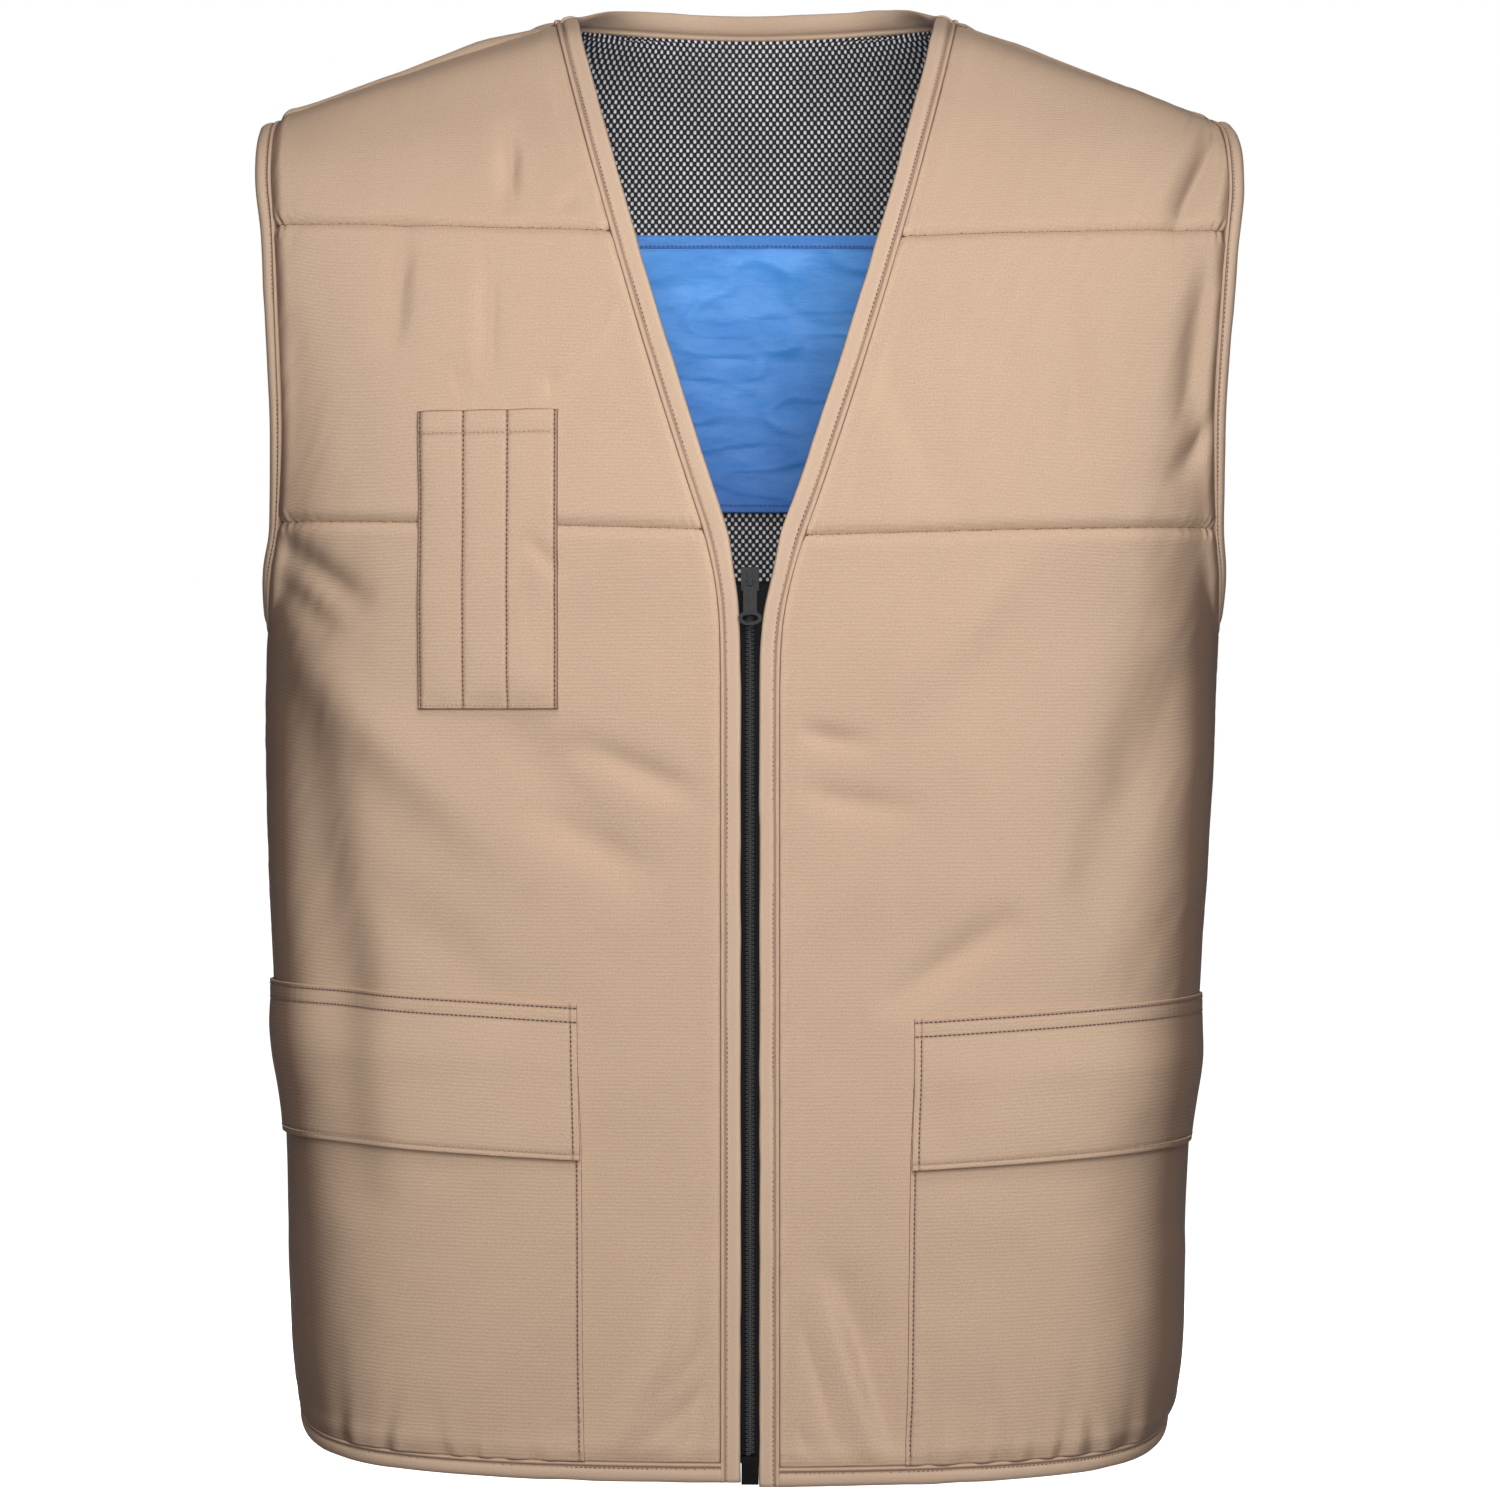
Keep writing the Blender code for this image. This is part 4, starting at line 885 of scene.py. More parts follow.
def cloth_piece(name, grid, thickness, outer, inner=None):
    """A wall of cloth through a grid, with rounded edges where its outer and inner faces meet."""
    half = thickness / 2 * rounded_rim(edge_distances(grid.points), thickness / 2)
    rows, columns = half.shape
    front = grid.points + grid.facing * half[..., None]
    behind = grid.points - grid.facing * half[..., None]
    index = np.arange(rows * columns).reshape(rows, columns)
    back_index = index.copy()
    inside = np.arange((rows - 2) * (columns - 2)).reshape(rows - 2, columns - 2)
    back_index[1:-1, 1:-1] = rows * columns + inside
    verts = np.concatenate((front.reshape(-1, 3), behind[1:-1, 1:-1].reshape(-1, 3)))
    quads = []
    for table, turn in ((index, 1), (back_index, -1)):
        corners = (table[:-1, :-1], table[:-1, 1:], table[1:, 1:], table[1:, :-1])
        quads.append(np.stack(corners, axis=-1).reshape(-1, 4)[:, ::turn])
    side = np.cross(front[0, 1] - front[0, 0], front[1, 0] - front[0, 0]).dot(grid.facing[1, 1])
    faces = np.concatenate(quads)[:, :: 1 if side > 0 else -1]
    places = np.stack((grid.across, grid.along), axis=-1)
    uv = np.concatenate((places.reshape(-1, 2), places[1:-1, 1:-1].reshape(-1, 2)))
    piece = mesh_piece(name, verts, faces, uv)
    mark_seam_shade(piece, np.concatenate((grid.seam.ravel(), 0 * grid.seam[1:-1, 1:-1].ravel())))
    piece.data.materials.append(outer)
    if inner is not None:
        piece.data.materials.append(inner)
        slots = np.zeros(len(faces), dtype=np.int32)
        slots[len(faces) // 2 :] = 1
        piece.data.polygons.foreach_set("material_index", slots)
    return piece


def mark_seam_shade(piece, share):
    """Stores how much each point of a piece is part of a seam, which the shaders turn into painted shade."""
    layer = piece.data.attributes.new("seam", "FLOAT", "POINT")
    layer.data.foreach_set("value", np.ascontiguousarray(share, dtype=np.float32).ravel())


def mesh_piece(name, verts, faces, uv=None):
    """A smooth-shaded piece from arrays of points and of faces that all have as many corners."""
    mesh = bpy.data.meshes.new(name)
    corners = faces.shape[1]
    mesh.vertices.add(len(verts))
    mesh.vertices.foreach_set("co", np.ascontiguousarray(verts, dtype=np.float32).ravel())
    mesh.loops.add(faces.size)
    mesh.loops.foreach_set("vertex_index", np.ascontiguousarray(faces, dtype=np.int32).ravel())
    mesh.polygons.add(len(faces))
    mesh.polygons.foreach_set("loop_start", np.arange(0, faces.size, corners, dtype=np.int32))
    mesh.update(calc_edges=True)
    if uv is not None:
        layer = mesh.uv_layers.new(name="UVMap")
        layer.data.foreach_set("uv", np.ascontiguousarray(uv[faces.ravel()], dtype=np.float32).ravel())
    mesh.validate()
    mesh.shade_smooth()
    piece = bpy.data.objects.new(name, mesh)
    bpy.context.scene.collection.objects.link(piece)
    return piece


def dress(piece, node, body="vest"):
    """Says what a finished piece rides on, and hides the node that it stands for."""
    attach(piece, body)
    if node:
        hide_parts(*([node] if isinstance(node, str) else node))
    return piece


# Bindings

Run = namedtuple("Run", "points facing out")

def run_along(points, facing, closed=False):
    """Even steps along an edge. Out lies in the cloth, square to the edge and to the right of its run."""
    if closed:
        points, facing = np.vstack((points, points[:1])), np.vstack((facing, facing[:1]))
    length = arc(points, 0)
    at = np.linspace(0.0, length[-1], int(length[-1] / RUN_STEP), endpoint=not closed)
    points, facing = sampled(at, length, points), unit(sampled(at, length, facing))
    times = 6 if closed else 2
    points, facing = smoothed(points, closed, times), unit(smoothed(facing, closed, 3 * times))
    if closed:
        along = np.roll(points, -1, axis=0) - np.roll(points, 1, axis=0)
    else:
        along = np.gradient(points, axis=0)
    out = unit(smoothed(unit(np.cross(along, facing)), closed, 2 * times))
    return Run(points, facing, out)


def sampled(at, length, values):
    """The values of a line of points at lengths along it."""
    return np.stack([np.interp(at, length, values[:, k]) for k in range(3)], axis=-1)


def smoothed(values, closed, times):
    for _ in range(times):
        if closed:
            values = (np.roll(values, 1, axis=0) + 2 * values + np.roll(values, -1, axis=0)) / 4
        else:
            inner = (values[:-2] + 2 * values[1:-1] + values[2:]) / 4
            values = np.vstack((values[:1], inner, values[-1:]))
    return values


def binding_piece(name, run, width, material, closed=False):
    """A folded band along a run, with its piped ridge and its hollow for stitches on both of its faces."""
    half = BINDING_THICKNESS / 2
    share, lift = np.array(PROFILE + tuple((s, -t) for s, t in PROFILE[-2::-1])).T
    width = np.broadcast_to(width, (len(run.points),))
    length = arc(run.points, 0)
    uneven = rumple(length, length * 0, 0.014, len(name)) * 0.00022
    ripple = 0.00012 * puckers(length, 0.0043, 0.017, 5)[:, None] * near_line(share - STITCH_SHARE, 0.16)
    reach = share * (width + uneven + BINDING_OVERLAP)[:, None] - BINDING_OVERLAP
    height = lift * half * 0.98 + ripple
    height += 0.00018 * rumple(length, length * 0, 0.022, 7)[:, None] * np.sign(lift) * (share < 0.97)
    points = (
        run.points[:, None] + run.out[:, None] * reach[..., None] + run.facing[:, None] * height[..., None]
    )
    index = np.arange(len(length) * len(share)).reshape(len(length), len(share))
    ahead = np.roll(index, -1, axis=0) if closed else index[1:]
    here = index if closed else index[:-1]
    corners = (here, np.roll(here, -1, axis=1), np.roll(ahead, -1, axis=1), ahead)
    faces = np.stack(corners, axis=-1).reshape(-1, 4)
    steps = np.hypot(np.diff(share) * width.mean(), np.diff(lift) * half)
    around_length = np.concatenate(([0.0], np.cumsum(steps)))
    uv = np.stack(np.broadcast_arrays(length[:, None], around_length[None, :]), axis=-1).reshape(-1, 2)
    piece = mesh_piece(name, points.reshape(-1, 3), faces, uv)
    # Painted shade: the stitch hollow and the seam edge of the band are marked to be painted darker
    hollow = near_line(share - STITCH_SHARE + 0.02, 0.06) * 0.8 + near_line(share, 0.05)
    mark_seam_shade(piece, np.broadcast_to(hollow, index.shape))
    if not closed:
        cap_ends(piece, index)
    piece.data.materials.append(material)
    point_outward(piece)
    return piece


def cap_ends(piece, index):
    shape = bmesh.new()
    shape.from_mesh(piece.data)
    shape.verts.ensure_lookup_table()
    for row in (index[0], index[-1]):
        shape.faces.new([shape.verts[i] for i in row])
    shape.to_mesh(piece.data)
    shape.free()


def point_outward(piece):
    shape = bmesh.new()
    shape.from_mesh(piece.data)
    bmesh.ops.recalc_face_normals(shape, faces=shape.faces)
    shape.to_mesh(piece.data)
    shape.free()
    piece.data.shade_smooth()


@cache
def binding_runs():
    """The runs of all the bindings, in the order in which their edges go on from each other."""
    runs = {}
    front = {}
    for side in SIDES:
        grid = front_grid(side)
        foot = grid.base[0, 0] + (0.0, 0.0, -HEM_BINDING)
        front[side] = (np.vstack((foot, grid.base[:-1, 0])), np.vstack((grid.calm[:1, 0], grid.calm[:-1, 0])))
    back = back_grid()
    inner = np.abs(back_columns()) < NECK_SHARE
    neck_points, neck_facing = back.base[-1, inner], back.calm[-1, inner]
    points = np.vstack((front[RIGHT][0], neck_points, front[LEFT][0][::-1]))
    facing = np.vstack((front[RIGHT][1], neck_facing, front[LEFT][1][::-1]))
    chain = run_along(points, facing)
    seam_at = [
        int(np.argmin(np.linalg.norm(chain.points - front[side][0][-1], axis=1))) for side in (RIGHT, LEFT)
    ]
    runs["front_edge_binding_right"] = Run(*(part[: seam_at[0]] for part in chain))
    runs["back_neck_binding"] = Run(*(part[seam_at[0] : seam_at[1] + 1] for part in chain))
    runs["front_edge_binding_left"] = Run(*(part[seam_at[1] + 1 :] for part in chain))
    for side, word in SIDES.items():
        grid = front_grid(side)
        up, down = (rows >= PLACES["armhole_foot"] for rows in (front_rows(), back_rows()))
        column = 0 if side == RIGHT else -1
        ring = np.vstack((grid.base[up, -1][:-1], back.base[down, column][-2::-1]))
        turned = np.vstack((grid.calm[up, -1][:-1], back.calm[down, column][-2::-1]))
        if side == RIGHT:
            ring, turned = ring[::-1], turned[::-1]
        runs[f"armhole_binding_{word}"] = run_along(ring, turned, closed=True)
    right, left = front_grid(RIGHT), front_grid(LEFT)
    points = np.vstack((left.base[0, :-1], back.base[0, -2:0:-1], right.base[0, -2::-1]))
    facing = np.vstack((left.calm[0, :-1], back.calm[0, -2:0:-1], right.calm[0, -2::-1]))
    runs["hem_binding"] = run_along(points, facing)
    return runs


def binding_width(name, run):
    if name.startswith("front"):
        in_v = smooth_step((run.points[:, 2] + V_DEPTH[RIGHT]) / 0.02)
        return mix(FRONT_BINDING, V_BINDING, in_v)
    if name.startswith("back"):
        steps = np.arange(len(run.points))
        end = np.minimum(steps, len(steps) - 1 - steps) * RUN_STEP
        return mix(V_BINDING, NECK_BINDING, smooth_step(end / 0.03))
    return HEM_BINDING if name.startswith("hem") else ARMHOLE_BINDING


# Stitches

def from_lowest(corners):
    """The corners of a face in their own order, from the one with the lowest number on."""
    first = corners.index(min(corners))
    return corners[first:] + corners[:first]


@cache
def stitch_model():
    """One stitch, a small rounded bar with its ends sunk, as points and triangles about its middle. The faces are
    sorted, because the sphere gives them in an order that changes from run to run."""
    bpy.ops.mesh.primitive_uv_sphere_add(segments=4, ring_count=4, radius=0.5, rotation=(0.0, np.pi / 2, 0.0))
    ball = bpy.context.active_object
    bpy.ops.object.transform_apply(location=False, rotation=True, scale=False)
    verts = np.array([v.co for v in ball.data.vertices])
    rings = sorted(from_lowest(list(p.vertices)) for p in ball.data.polygons)
    faces = np.array([(ring[0], ring[k], ring[k + 1]) for ring in rings for k in range(1, len(ring) - 1)])
    bpy.data.objects.remove(ball, do_unlink=True)
    verts[:, 2] -= 0.35 * (2 * verts[:, 0]) ** 2
    return verts, faces


def stitches(name, lines, material, pitch, width=STITCH_WIDTH):
    """Rows of stitches along lines, each given as points and the way that the cloth faces at them."""
    model, triangles = stitch_model()
    verts, faces = [], []
    for number, (points, facing) in enumerate(lines):
        run = arc(points, 0)
        count = max(int(run[-1] / pitch), 1)
        at = (np.arange(count) + 0.5) * run[-1] / count
        centre, up = sampled(at, run, points), unit(sampled(at, run, facing))
        along = unit(sampled(at + STITCH_AHEAD, run, points) - sampled(at - STITCH_AHEAD, run, points))
        side = unit(np.cross(up, along))
        lean = 0.10 * hashed(at * 9000, at * 0, number)[:, None]
        along, side = unit(along + side * lean), unit(side - along * lean)
        placed = (
            centre[:, None]
            + along[:, None] * (model[None, :, :1] * STITCH_LENGTH)
            + side[:, None] * (model[None, :, 1:2] * width)
            + up[:, None] * (model[None, :, 2:] * width * 0.9 + width * 0.30)
        )
        first = sum(len(v) for v in verts) + np.arange(count) * len(model)
        verts.append(placed.reshape(-1, 3))
        faces.append((triangles[None] + first[:, None, None]).reshape(-1, 3))
    piece = mesh_piece(name, np.concatenate(verts), np.concatenate(faces))
    piece.data.materials.append(material)
    point_outward(piece)
    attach(piece, "vest")
    return piece


def grid_line(grid, thickness, distance, inset, axis, start=0.0, end=0.0):
    """A line on the outer face of a grid where a distance from its edge has a value. It runs along the axis:
    0 up the cloth and 1 across it."""
    surface = grid.points + grid.facing * thickness / 2
    points, facing = [], []
    for k in range(surface.shape[axis]):
        slices = (k, slice(None)) if axis == 0 else (slice(None), k)
        away = distance[slices]
        order = np.argsort(away)
        points.append([np.interp(inset, away[order], surface[slices][order, c]) for c in range(3)])
        facing.append([np.interp(inset, away[order], grid.facing[slices][order, c]) for c in range(3)])
    points, facing = np.array(points), unit(np.array(facing))
    run = arc(points, 0)
    keep = (run >= start) & (run <= run[-1] - end)
    return points[keep], facing[keep]


# Shared effects of the materials

def new_group(name, inputs, outputs):
    """An empty node group with sockets, each given as a name, a kind and, for an input, its default."""
    tree = bpy.data.node_groups.new(name, "ShaderNodeTree")
    for socket_name, kind, default in inputs:
        socket = tree.interface.new_socket(socket_name, in_out="INPUT", socket_type=kind)
        socket.default_value = default
    for socket_name, kind in outputs:
        tree.interface.new_socket(socket_name, in_out="OUTPUT", socket_type=kind)
    return Nodes(tree), tree.nodes.new("NodeGroupInput").outputs, tree.nodes.new("NodeGroupOutput").inputs


class Nodes:
    """Adds nodes to a tree and fills their inputs, each with a number, a colour or another node's output."""

    def __init__(self, tree):
        self.tree = tree

    def add(self, kind, inputs=(), **settings):
        node = self.tree.nodes.new(kind)
        for key, value in settings.items():
            setattr(node, key, value)
        for key, value in dict(inputs).items():
            self.put(value, node.inputs[key])
        return node

    def put(self, value, socket):
        if isinstance(value, bpy.types.NodeSocket):
            self.tree.links.new(value, socket)
        else:
            socket.default_value = value

    def math(self, operation, *values):
        return self.add("ShaderNodeMath", dict(enumerate(values)), operation=operation).outputs[0]

    def noise(self, vector, scale, detail=2.0, roughness=0.5):
        inputs = {"Vector": vector, "Scale": scale, "Detail": detail, "Roughness": roughness}
        return self.add("ShaderNodeTexNoise", inputs).outputs["Fac"]

    def range(self, value, low, high, to_low=0.0, to_high=1.0):
        inputs = {0: value, 1: low, 2: high, 3: to_low, 4: to_high}
        return self.add("ShaderNodeMapRange", inputs).outputs[0]

    def blend(self, share, a, b, kind="MIX"):
        node = self.add("ShaderNodeMix", data_type="RGBA", blend_type=kind)
        for value, index in ((share, 0), (a, 6), (b, 7)):
            self.put(value, node.inputs[index])
        return node.outputs[2]

    def scaled(self, vector, scale):
        return self.add("ShaderNodeVectorMath", {0: vector, 1: scale}, operation="MULTIPLY").outputs[0]

    def cloth_place(self):
        """The place on the cloth in metres, across and along it."""
        return self.add("ShaderNodeUVMap", uv_map="UVMap").outputs[0]

    def place(self):
        """The place in the vest, in metres."""
        return self.add("ShaderNodeTexCoord").outputs["Object"]

    def split(self, vector):
        """The X, Y and Z of a vector."""
        return self.add("ShaderNodeSeparateXYZ", {0: vector}).outputs


@cache
def rib_group():
    """Fine ribs across the cloth, made of short threads, for the shell."""
    nodes, given, out = new_group(
        "ribbed weave",
        [("Rib Pitch", "NodeSocketFloat", 0.0018), ("Thread Pitch", "NodeSocketFloat", 0.00055)],
        [("Height", "NodeSocketFloat"), ("Shade", "NodeSocketFloat")],
    )
    place = nodes.cloth_place()
    split = nodes.split(place)
    wander = nodes.noise(nodes.scaled(place, (90.0, 260.0, 1.0)), 1.0)
    row = nodes.math("DIVIDE", split["Y"], given["Rib Pitch"])
    row = nodes.math("ADD", row, nodes.math("MULTIPLY", wander, 0.9))
    rib = nodes.math("SINE", nodes.math("MULTIPLY", row, 2 * np.pi))
    thread = nodes.math("DIVIDE", split["X"], given["Thread Pitch"])
    thread = nodes.math("ADD", thread, nodes.math("MULTIPLY", nodes.math("FLOOR", row), 0.5))
    thread = nodes.math("SINE", nodes.math("MULTIPLY", thread, 2 * np.pi))
    speckle = nodes.noise(nodes.scaled(place, (1150.0, 900.0, 1.0)), 1.0, 3.0, 0.75)
    height = nodes.math("ADD", nodes.math("MULTIPLY", rib, 0.32), nodes.math("MULTIPLY", thread, 0.2))
    height = nodes.math("ADD", height, nodes.math("MULTIPLY", speckle, 1.4))
    nodes.put(height, out["Height"])
    patchy = nodes.range(nodes.noise(nodes.scaled(place, (40.0, 40.0, 1.0)), 1.0), 0.35, 0.65, 0.3, 1.0)
    shade = nodes.math("MULTIPLY", nodes.math("MULTIPLY", rib, 0.018), patchy)
    shade = nodes.math("ADD", shade, nodes.math("MULTIPLY", speckle, 0.62))
    nodes.put(nodes.math("ADD", shade, 0.69), out["Shade"])
    return nodes.tree


@cache
def twill_group():
    """Diagonal twill lines, for bindings and tapes."""
    nodes, given, out = new_group(
        "twill weave",
        [("Pitch", "NodeSocketFloat", 0.0011), ("Slant", "NodeSocketFloat", 1.0)],
        [("Height", "NodeSocketFloat"), ("Shade", "NodeSocketFloat")],
    )
    place = nodes.cloth_place()
    split = nodes.split(place)
    slant = nodes.math("MULTIPLY", split["X"], given["Slant"])
    line = nodes.math("DIVIDE", nodes.math("ADD", split["Y"], slant), given["Pitch"])
    wave = nodes.math("SINE", nodes.math("MULTIPLY", line, 2 * np.pi))
    speckle = nodes.noise(nodes.scaled(place, (1200.0, 1000.0, 1.0)), 1.0, 3.0, 0.7)
    nodes.put(nodes.math("ADD", nodes.math("MULTIPLY", wave, 0.5), speckle), out["Height"])
    shade = nodes.math("ADD", nodes.math("MULTIPLY", wave, 0.035), nodes.math("MULTIPLY", speckle, 0.44))
    nodes.put(nodes.math("ADD", shade, 0.78), out["Shade"])
    return nodes.tree


@cache
def wear_group():
    """Soft patches where cloth has been handled, washed or faded, as a shade and a roughness."""
    nodes, given, out = new_group(
        "cloth wear",
        [("Patch Size", "NodeSocketFloat", 0.07), ("Strength", "NodeSocketFloat", 0.06)],
        [("Shade", "NodeSocketFloat"), ("Roughness", "NodeSocketFloat")],
    )
    place = nodes.place()
    patches = nodes.noise(place, nodes.math("DIVIDE", 1.0, given["Patch Size"]), 3.0, 0.55)
    centred = nodes.math("SUBTRACT", patches, 0.5)
    shade = nodes.math("ADD", nodes.math("MULTIPLY", centred, given["Strength"]), 1.0)
    nodes.put(shade, out["Shade"])
    nodes.put(nodes.math("ADD", nodes.math("MULTIPLY", centred, 0.2), 0.84), out["Roughness"])
    return nodes.tree


def new_material(name, **sockets):
    """A material with the values that are the same all over it set on its shader."""
    made = bpy.data.materials.new(name)
    made.use_nodes = True
    shader = made.node_tree.nodes["Principled BSDF"]
    for key, value in sockets.items():
        shader.inputs[key.replace("_", " ")].default_value = value
    return made, Nodes(made.node_tree), shader.inputs


def shaded(nodes, colour, *shades):
    """The colour times each of the shades."""
    result = nodes.add("ShaderNodeRGB").outputs[0]
    result.default_value = (*colour, 1.0)
    for shade in shades:
        grey = nodes.add("ShaderNodeCombineColor", {0: shade, 1: shade, 2: shade}).outputs[0]
        result = nodes.blend(1.0, result, grey, "MULTIPLY")
    return result


def group(nodes, tree, **values):
    node = nodes.add("ShaderNodeGroup", node_tree=tree)
    for key, value in values.items():
        node.inputs[key.replace("_", " ")].default_value = value
    return node.outputs


def bump(nodes, height, distance, strength=1.0, normal=None):
    inputs = {"Height": height, "Distance": distance, "Strength": strength}
    if normal is not None:
        inputs["Normal"] = normal
    return nodes.add("ShaderNodeBump", inputs).outputs[0]


def seam_shaded(nodes, colour, strength):
    """The colour, with painted shade in the grooves of seams."""
    seam = nodes.add("ShaderNodeAttribute", attribute_name="seam").outputs["Fac"]
    # Painted shade: the seam attribute blends the colour toward the shade colour
    share = nodes.math("MULTIPLY", seam, strength)
    return nodes.blend(share, colour, (*bpy.context.scene.vest_cloth.painted_shade_colour, 1.0))


def painted_side_light_and_shade(nodes, colour, strength=0.82):
    """The colour with painted light and shade by how the cloth turns: paler where it turns a little to the side,
    and deeper where it turns further and is seen from aside.
    """
    aside = nodes.add("ShaderNodeLayerWeight", {"Blend": 0.5}).outputs["Facing"]
    normal = nodes.split(nodes.add("ShaderNodeNewGeometry").outputs["Normal"])
    turned = nodes.math("ABSOLUTE", normal["X"])
    # Painted light: paler where the cloth turns a little to the side
    colour = nodes.blend(nodes.range(turned, 0.12, 0.45), colour, nodes.blend(1.0, colour, PAINTED_LIGHT, "MULTIPLY"))
    # Painted shade: blended toward the shade colour where the cloth turns far to the side and is seen from aside
    side_shade_mask = nodes.range(turned, 0.40, 0.80)
    share = nodes.math("MULTIPLY", side_shade_mask, nodes.range(aside, 0.18, 0.54, 0.0, strength))
    return nodes.blend(share, colour, (*bpy.context.scene.vest_cloth.painted_shade_colour, 1.0))


@cache
def shell_material():
    settings = bpy.context.scene.vest_cloth
    made, nodes, shader = new_material("shell cloth", Sheen_Weight=0.03, Specular_IOR_Level=0.12)
    rib = group(nodes, rib_group(), Rib_Pitch=settings.rib_pitch)
    wear = group(nodes, wear_group())
    cloth = shaded(nodes, settings.shell_colour, rib["Shade"], wear["Shade"])
    # Painted shade in the seam grooves, and painted light and shade where the cloth turns to the side
    nodes.put(seam_shaded(nodes, painted_side_light_and_shade(nodes, cloth), 0.95), shader["Base Color"])
    nodes.put(wear["Roughness"], shader["Roughness"])
    nodes.put(bump(nodes, rib["Height"], 0.00009), shader["Normal"])
    return made


@cache
def binding_material():
    settings = bpy.context.scene.vest_cloth
    made, nodes, shader = new_material("binding cloth", Sheen_Weight=0.03, Specular_IOR_Level=0.12)
    twill = group(nodes, twill_group())
    wear = group(nodes, wear_group(), Patch_Size=0.03)
    cloth = shaded(nodes, settings.binding_colour, twill["Shade"], wear["Shade"])
    # Painted shade in the seam grooves, and painted light and shade where the cloth turns to the side
    nodes.put(seam_shaded(nodes, painted_side_light_and_shade(nodes, cloth, 0.4), 0.95), shader["Base Color"])
    nodes.put(wear["Roughness"], shader["Roughness"])
    nodes.put(bump(nodes, twill["Height"], 0.00008), shader["Normal"])
    return made


@cache
def net_material():
    """Black spacer net: staggered holes that show its pale filling, between dark threads."""
    made, nodes, shader = new_material("spacer net", Roughness=0.75, Specular_IOR_Level=0.3)
    settings = bpy.context.scene.vest_lining
    place = nodes.split(nodes.cloth_place())
    across = nodes.math("COSINE", nodes.math("MULTIPLY", place["X"], 2 * np.pi / settings.hole_pitch))
    level = nodes.split(nodes.place())["Z"]
    along = nodes.math("COSINE", nodes.math("MULTIPLY", level, np.pi / settings.hole_rows))
    both = nodes.math("MULTIPLY", across, along)
    hole = nodes.range(both, 0.0, 0.55)
    patches = nodes.noise(nodes.cloth_place(), 26.0)
    pale = nodes.math("MULTIPLY", hole, nodes.range(patches, 0.25, 0.75, 0.72, 1.0))
    colour = nodes.blend(pale, (*settings.net_colour, 1.0), (*settings.filling_colour, 1.0))
    nodes.put(colour, shader["Base Color"])
    nodes.put(bump(nodes, nodes.math("SUBTRACT", 1.0, hole), 0.0004), shader["Normal"])
    return made


@cache
def insert_material(name="insert cloth", deeper=1.0):
    """The insert's blue cloth: smooth and faintly shiny, with painted light and shade that follow its creases,
    and darker toward its foot.
    """
    settings = bpy.context.scene.vest_lining
    made, nodes, shader = new_material(name, Sheen_Weight=0.25, Sheen_Roughness=0.35, Specular_IOR_Level=0.45)
    place = nodes.cloth_place()
    crease_and_shade_noise = nodes.noise(nodes.scaled(place, (22.0, 60.0, 1.0)), 1.0, 4.0, 0.6)
    fine = nodes.noise(nodes.scaled(place, (900.0, 1400.0, 1.0)), 1.0, 2.0, 0.6)
    height = nodes.split(nodes.place())["Z"]
    upper = nodes.range(height, -INSERT_TOP - INSERT_HEIGHT, -INSERT_TOP)
    # Painted light and shade: the crease noise of the bump also makes the colour paler on crests and deeper in
    # creases
    share = nodes.math("ADD", nodes.math("MULTIPLY", upper, 0.60), nodes.math("MULTIPLY", crease_and_shade_noise, 0.60))
    share = nodes.math("MULTIPLY", nodes.math("SUBTRACT", share, 0.05), deeper)
    colour = nodes.blend(share, (*settings.insert_low_colour, 1.0), (*settings.insert_high_colour, 1.0))
    grey = nodes.range(fine, 0.2, 0.8, 0.88, 1.10)
    shade = nodes.add("ShaderNodeCombineColor", {0: grey, 1: grey, 2: grey}).outputs[0]
    nodes.put(nodes.blend(1.0, colour, shade, "MULTIPLY"), shader["Base Color"])
    nodes.put(nodes.range(crease_and_shade_noise, 0.3, 0.7, 0.62, 0.48), shader["Roughness"])
    creases = bump(nodes, crease_and_shade_noise, 0.0012)
    nodes.put(bump(nodes, fine, 0.00006, normal=creases), shader["Normal"])
    return made


@cache
def thread_material(name):
    """Twisted sewing thread, in the colour that the settings give to it."""
    colour = getattr(bpy.context.scene.vest_stitching, THREADS[name])
    made, nodes, shader = new_material(name, Roughness=0.6, Specular_IOR_Level=0.35, Sheen_Weight=0.2)
    speckle = nodes.noise(nodes.place(), 1800.0, 2.0, 0.6)
    nodes.put(shaded(nodes, colour, nodes.range(speckle, 0.25, 0.75, 0.75, 1.2)), shader["Base Color"])
    nodes.put(bump(nodes, speckle, 0.00008), shader["Normal"])
    return made


@cache
def tape_material():
    made, nodes, shader = new_material("zip tape", Specular_IOR_Level=0.15)
    twill = group(nodes, twill_group(), Pitch=0.0007, Slant=0.6)
    wear = group(nodes, wear_group(), Patch_Size=0.02)
    nodes.put(shaded(nodes, (0.006, 0.006, 0.007), twill["Shade"], wear["Shade"]), shader["Base Color"])
    nodes.put(wear["Roughness"], shader["Roughness"])
    nodes.put(bump(nodes, twill["Height"], 0.00010), shader["Normal"])
    return made


@cache
def coil_material():
    sockets = {"Specular_IOR_Level": 0.6, "Coat_Weight": 0.4, "Coat_Roughness": 0.3}
    made, nodes, shader = new_material("nylon coil", **sockets)
    grain = nodes.noise(nodes.place(), 900.0, 2.0, 0.6)
    shade = nodes.range(grain, 0.3, 0.7, 0.8, 1.3)
    nodes.put(shaded(nodes, (0.030, 0.030, 0.032), shade), shader["Base Color"])
    nodes.put(nodes.range(grain, 0.3, 0.7, 0.34, 0.46), shader["Roughness"])
    nodes.put(bump(nodes, grain, 0.00003), shader["Normal"])
    return made


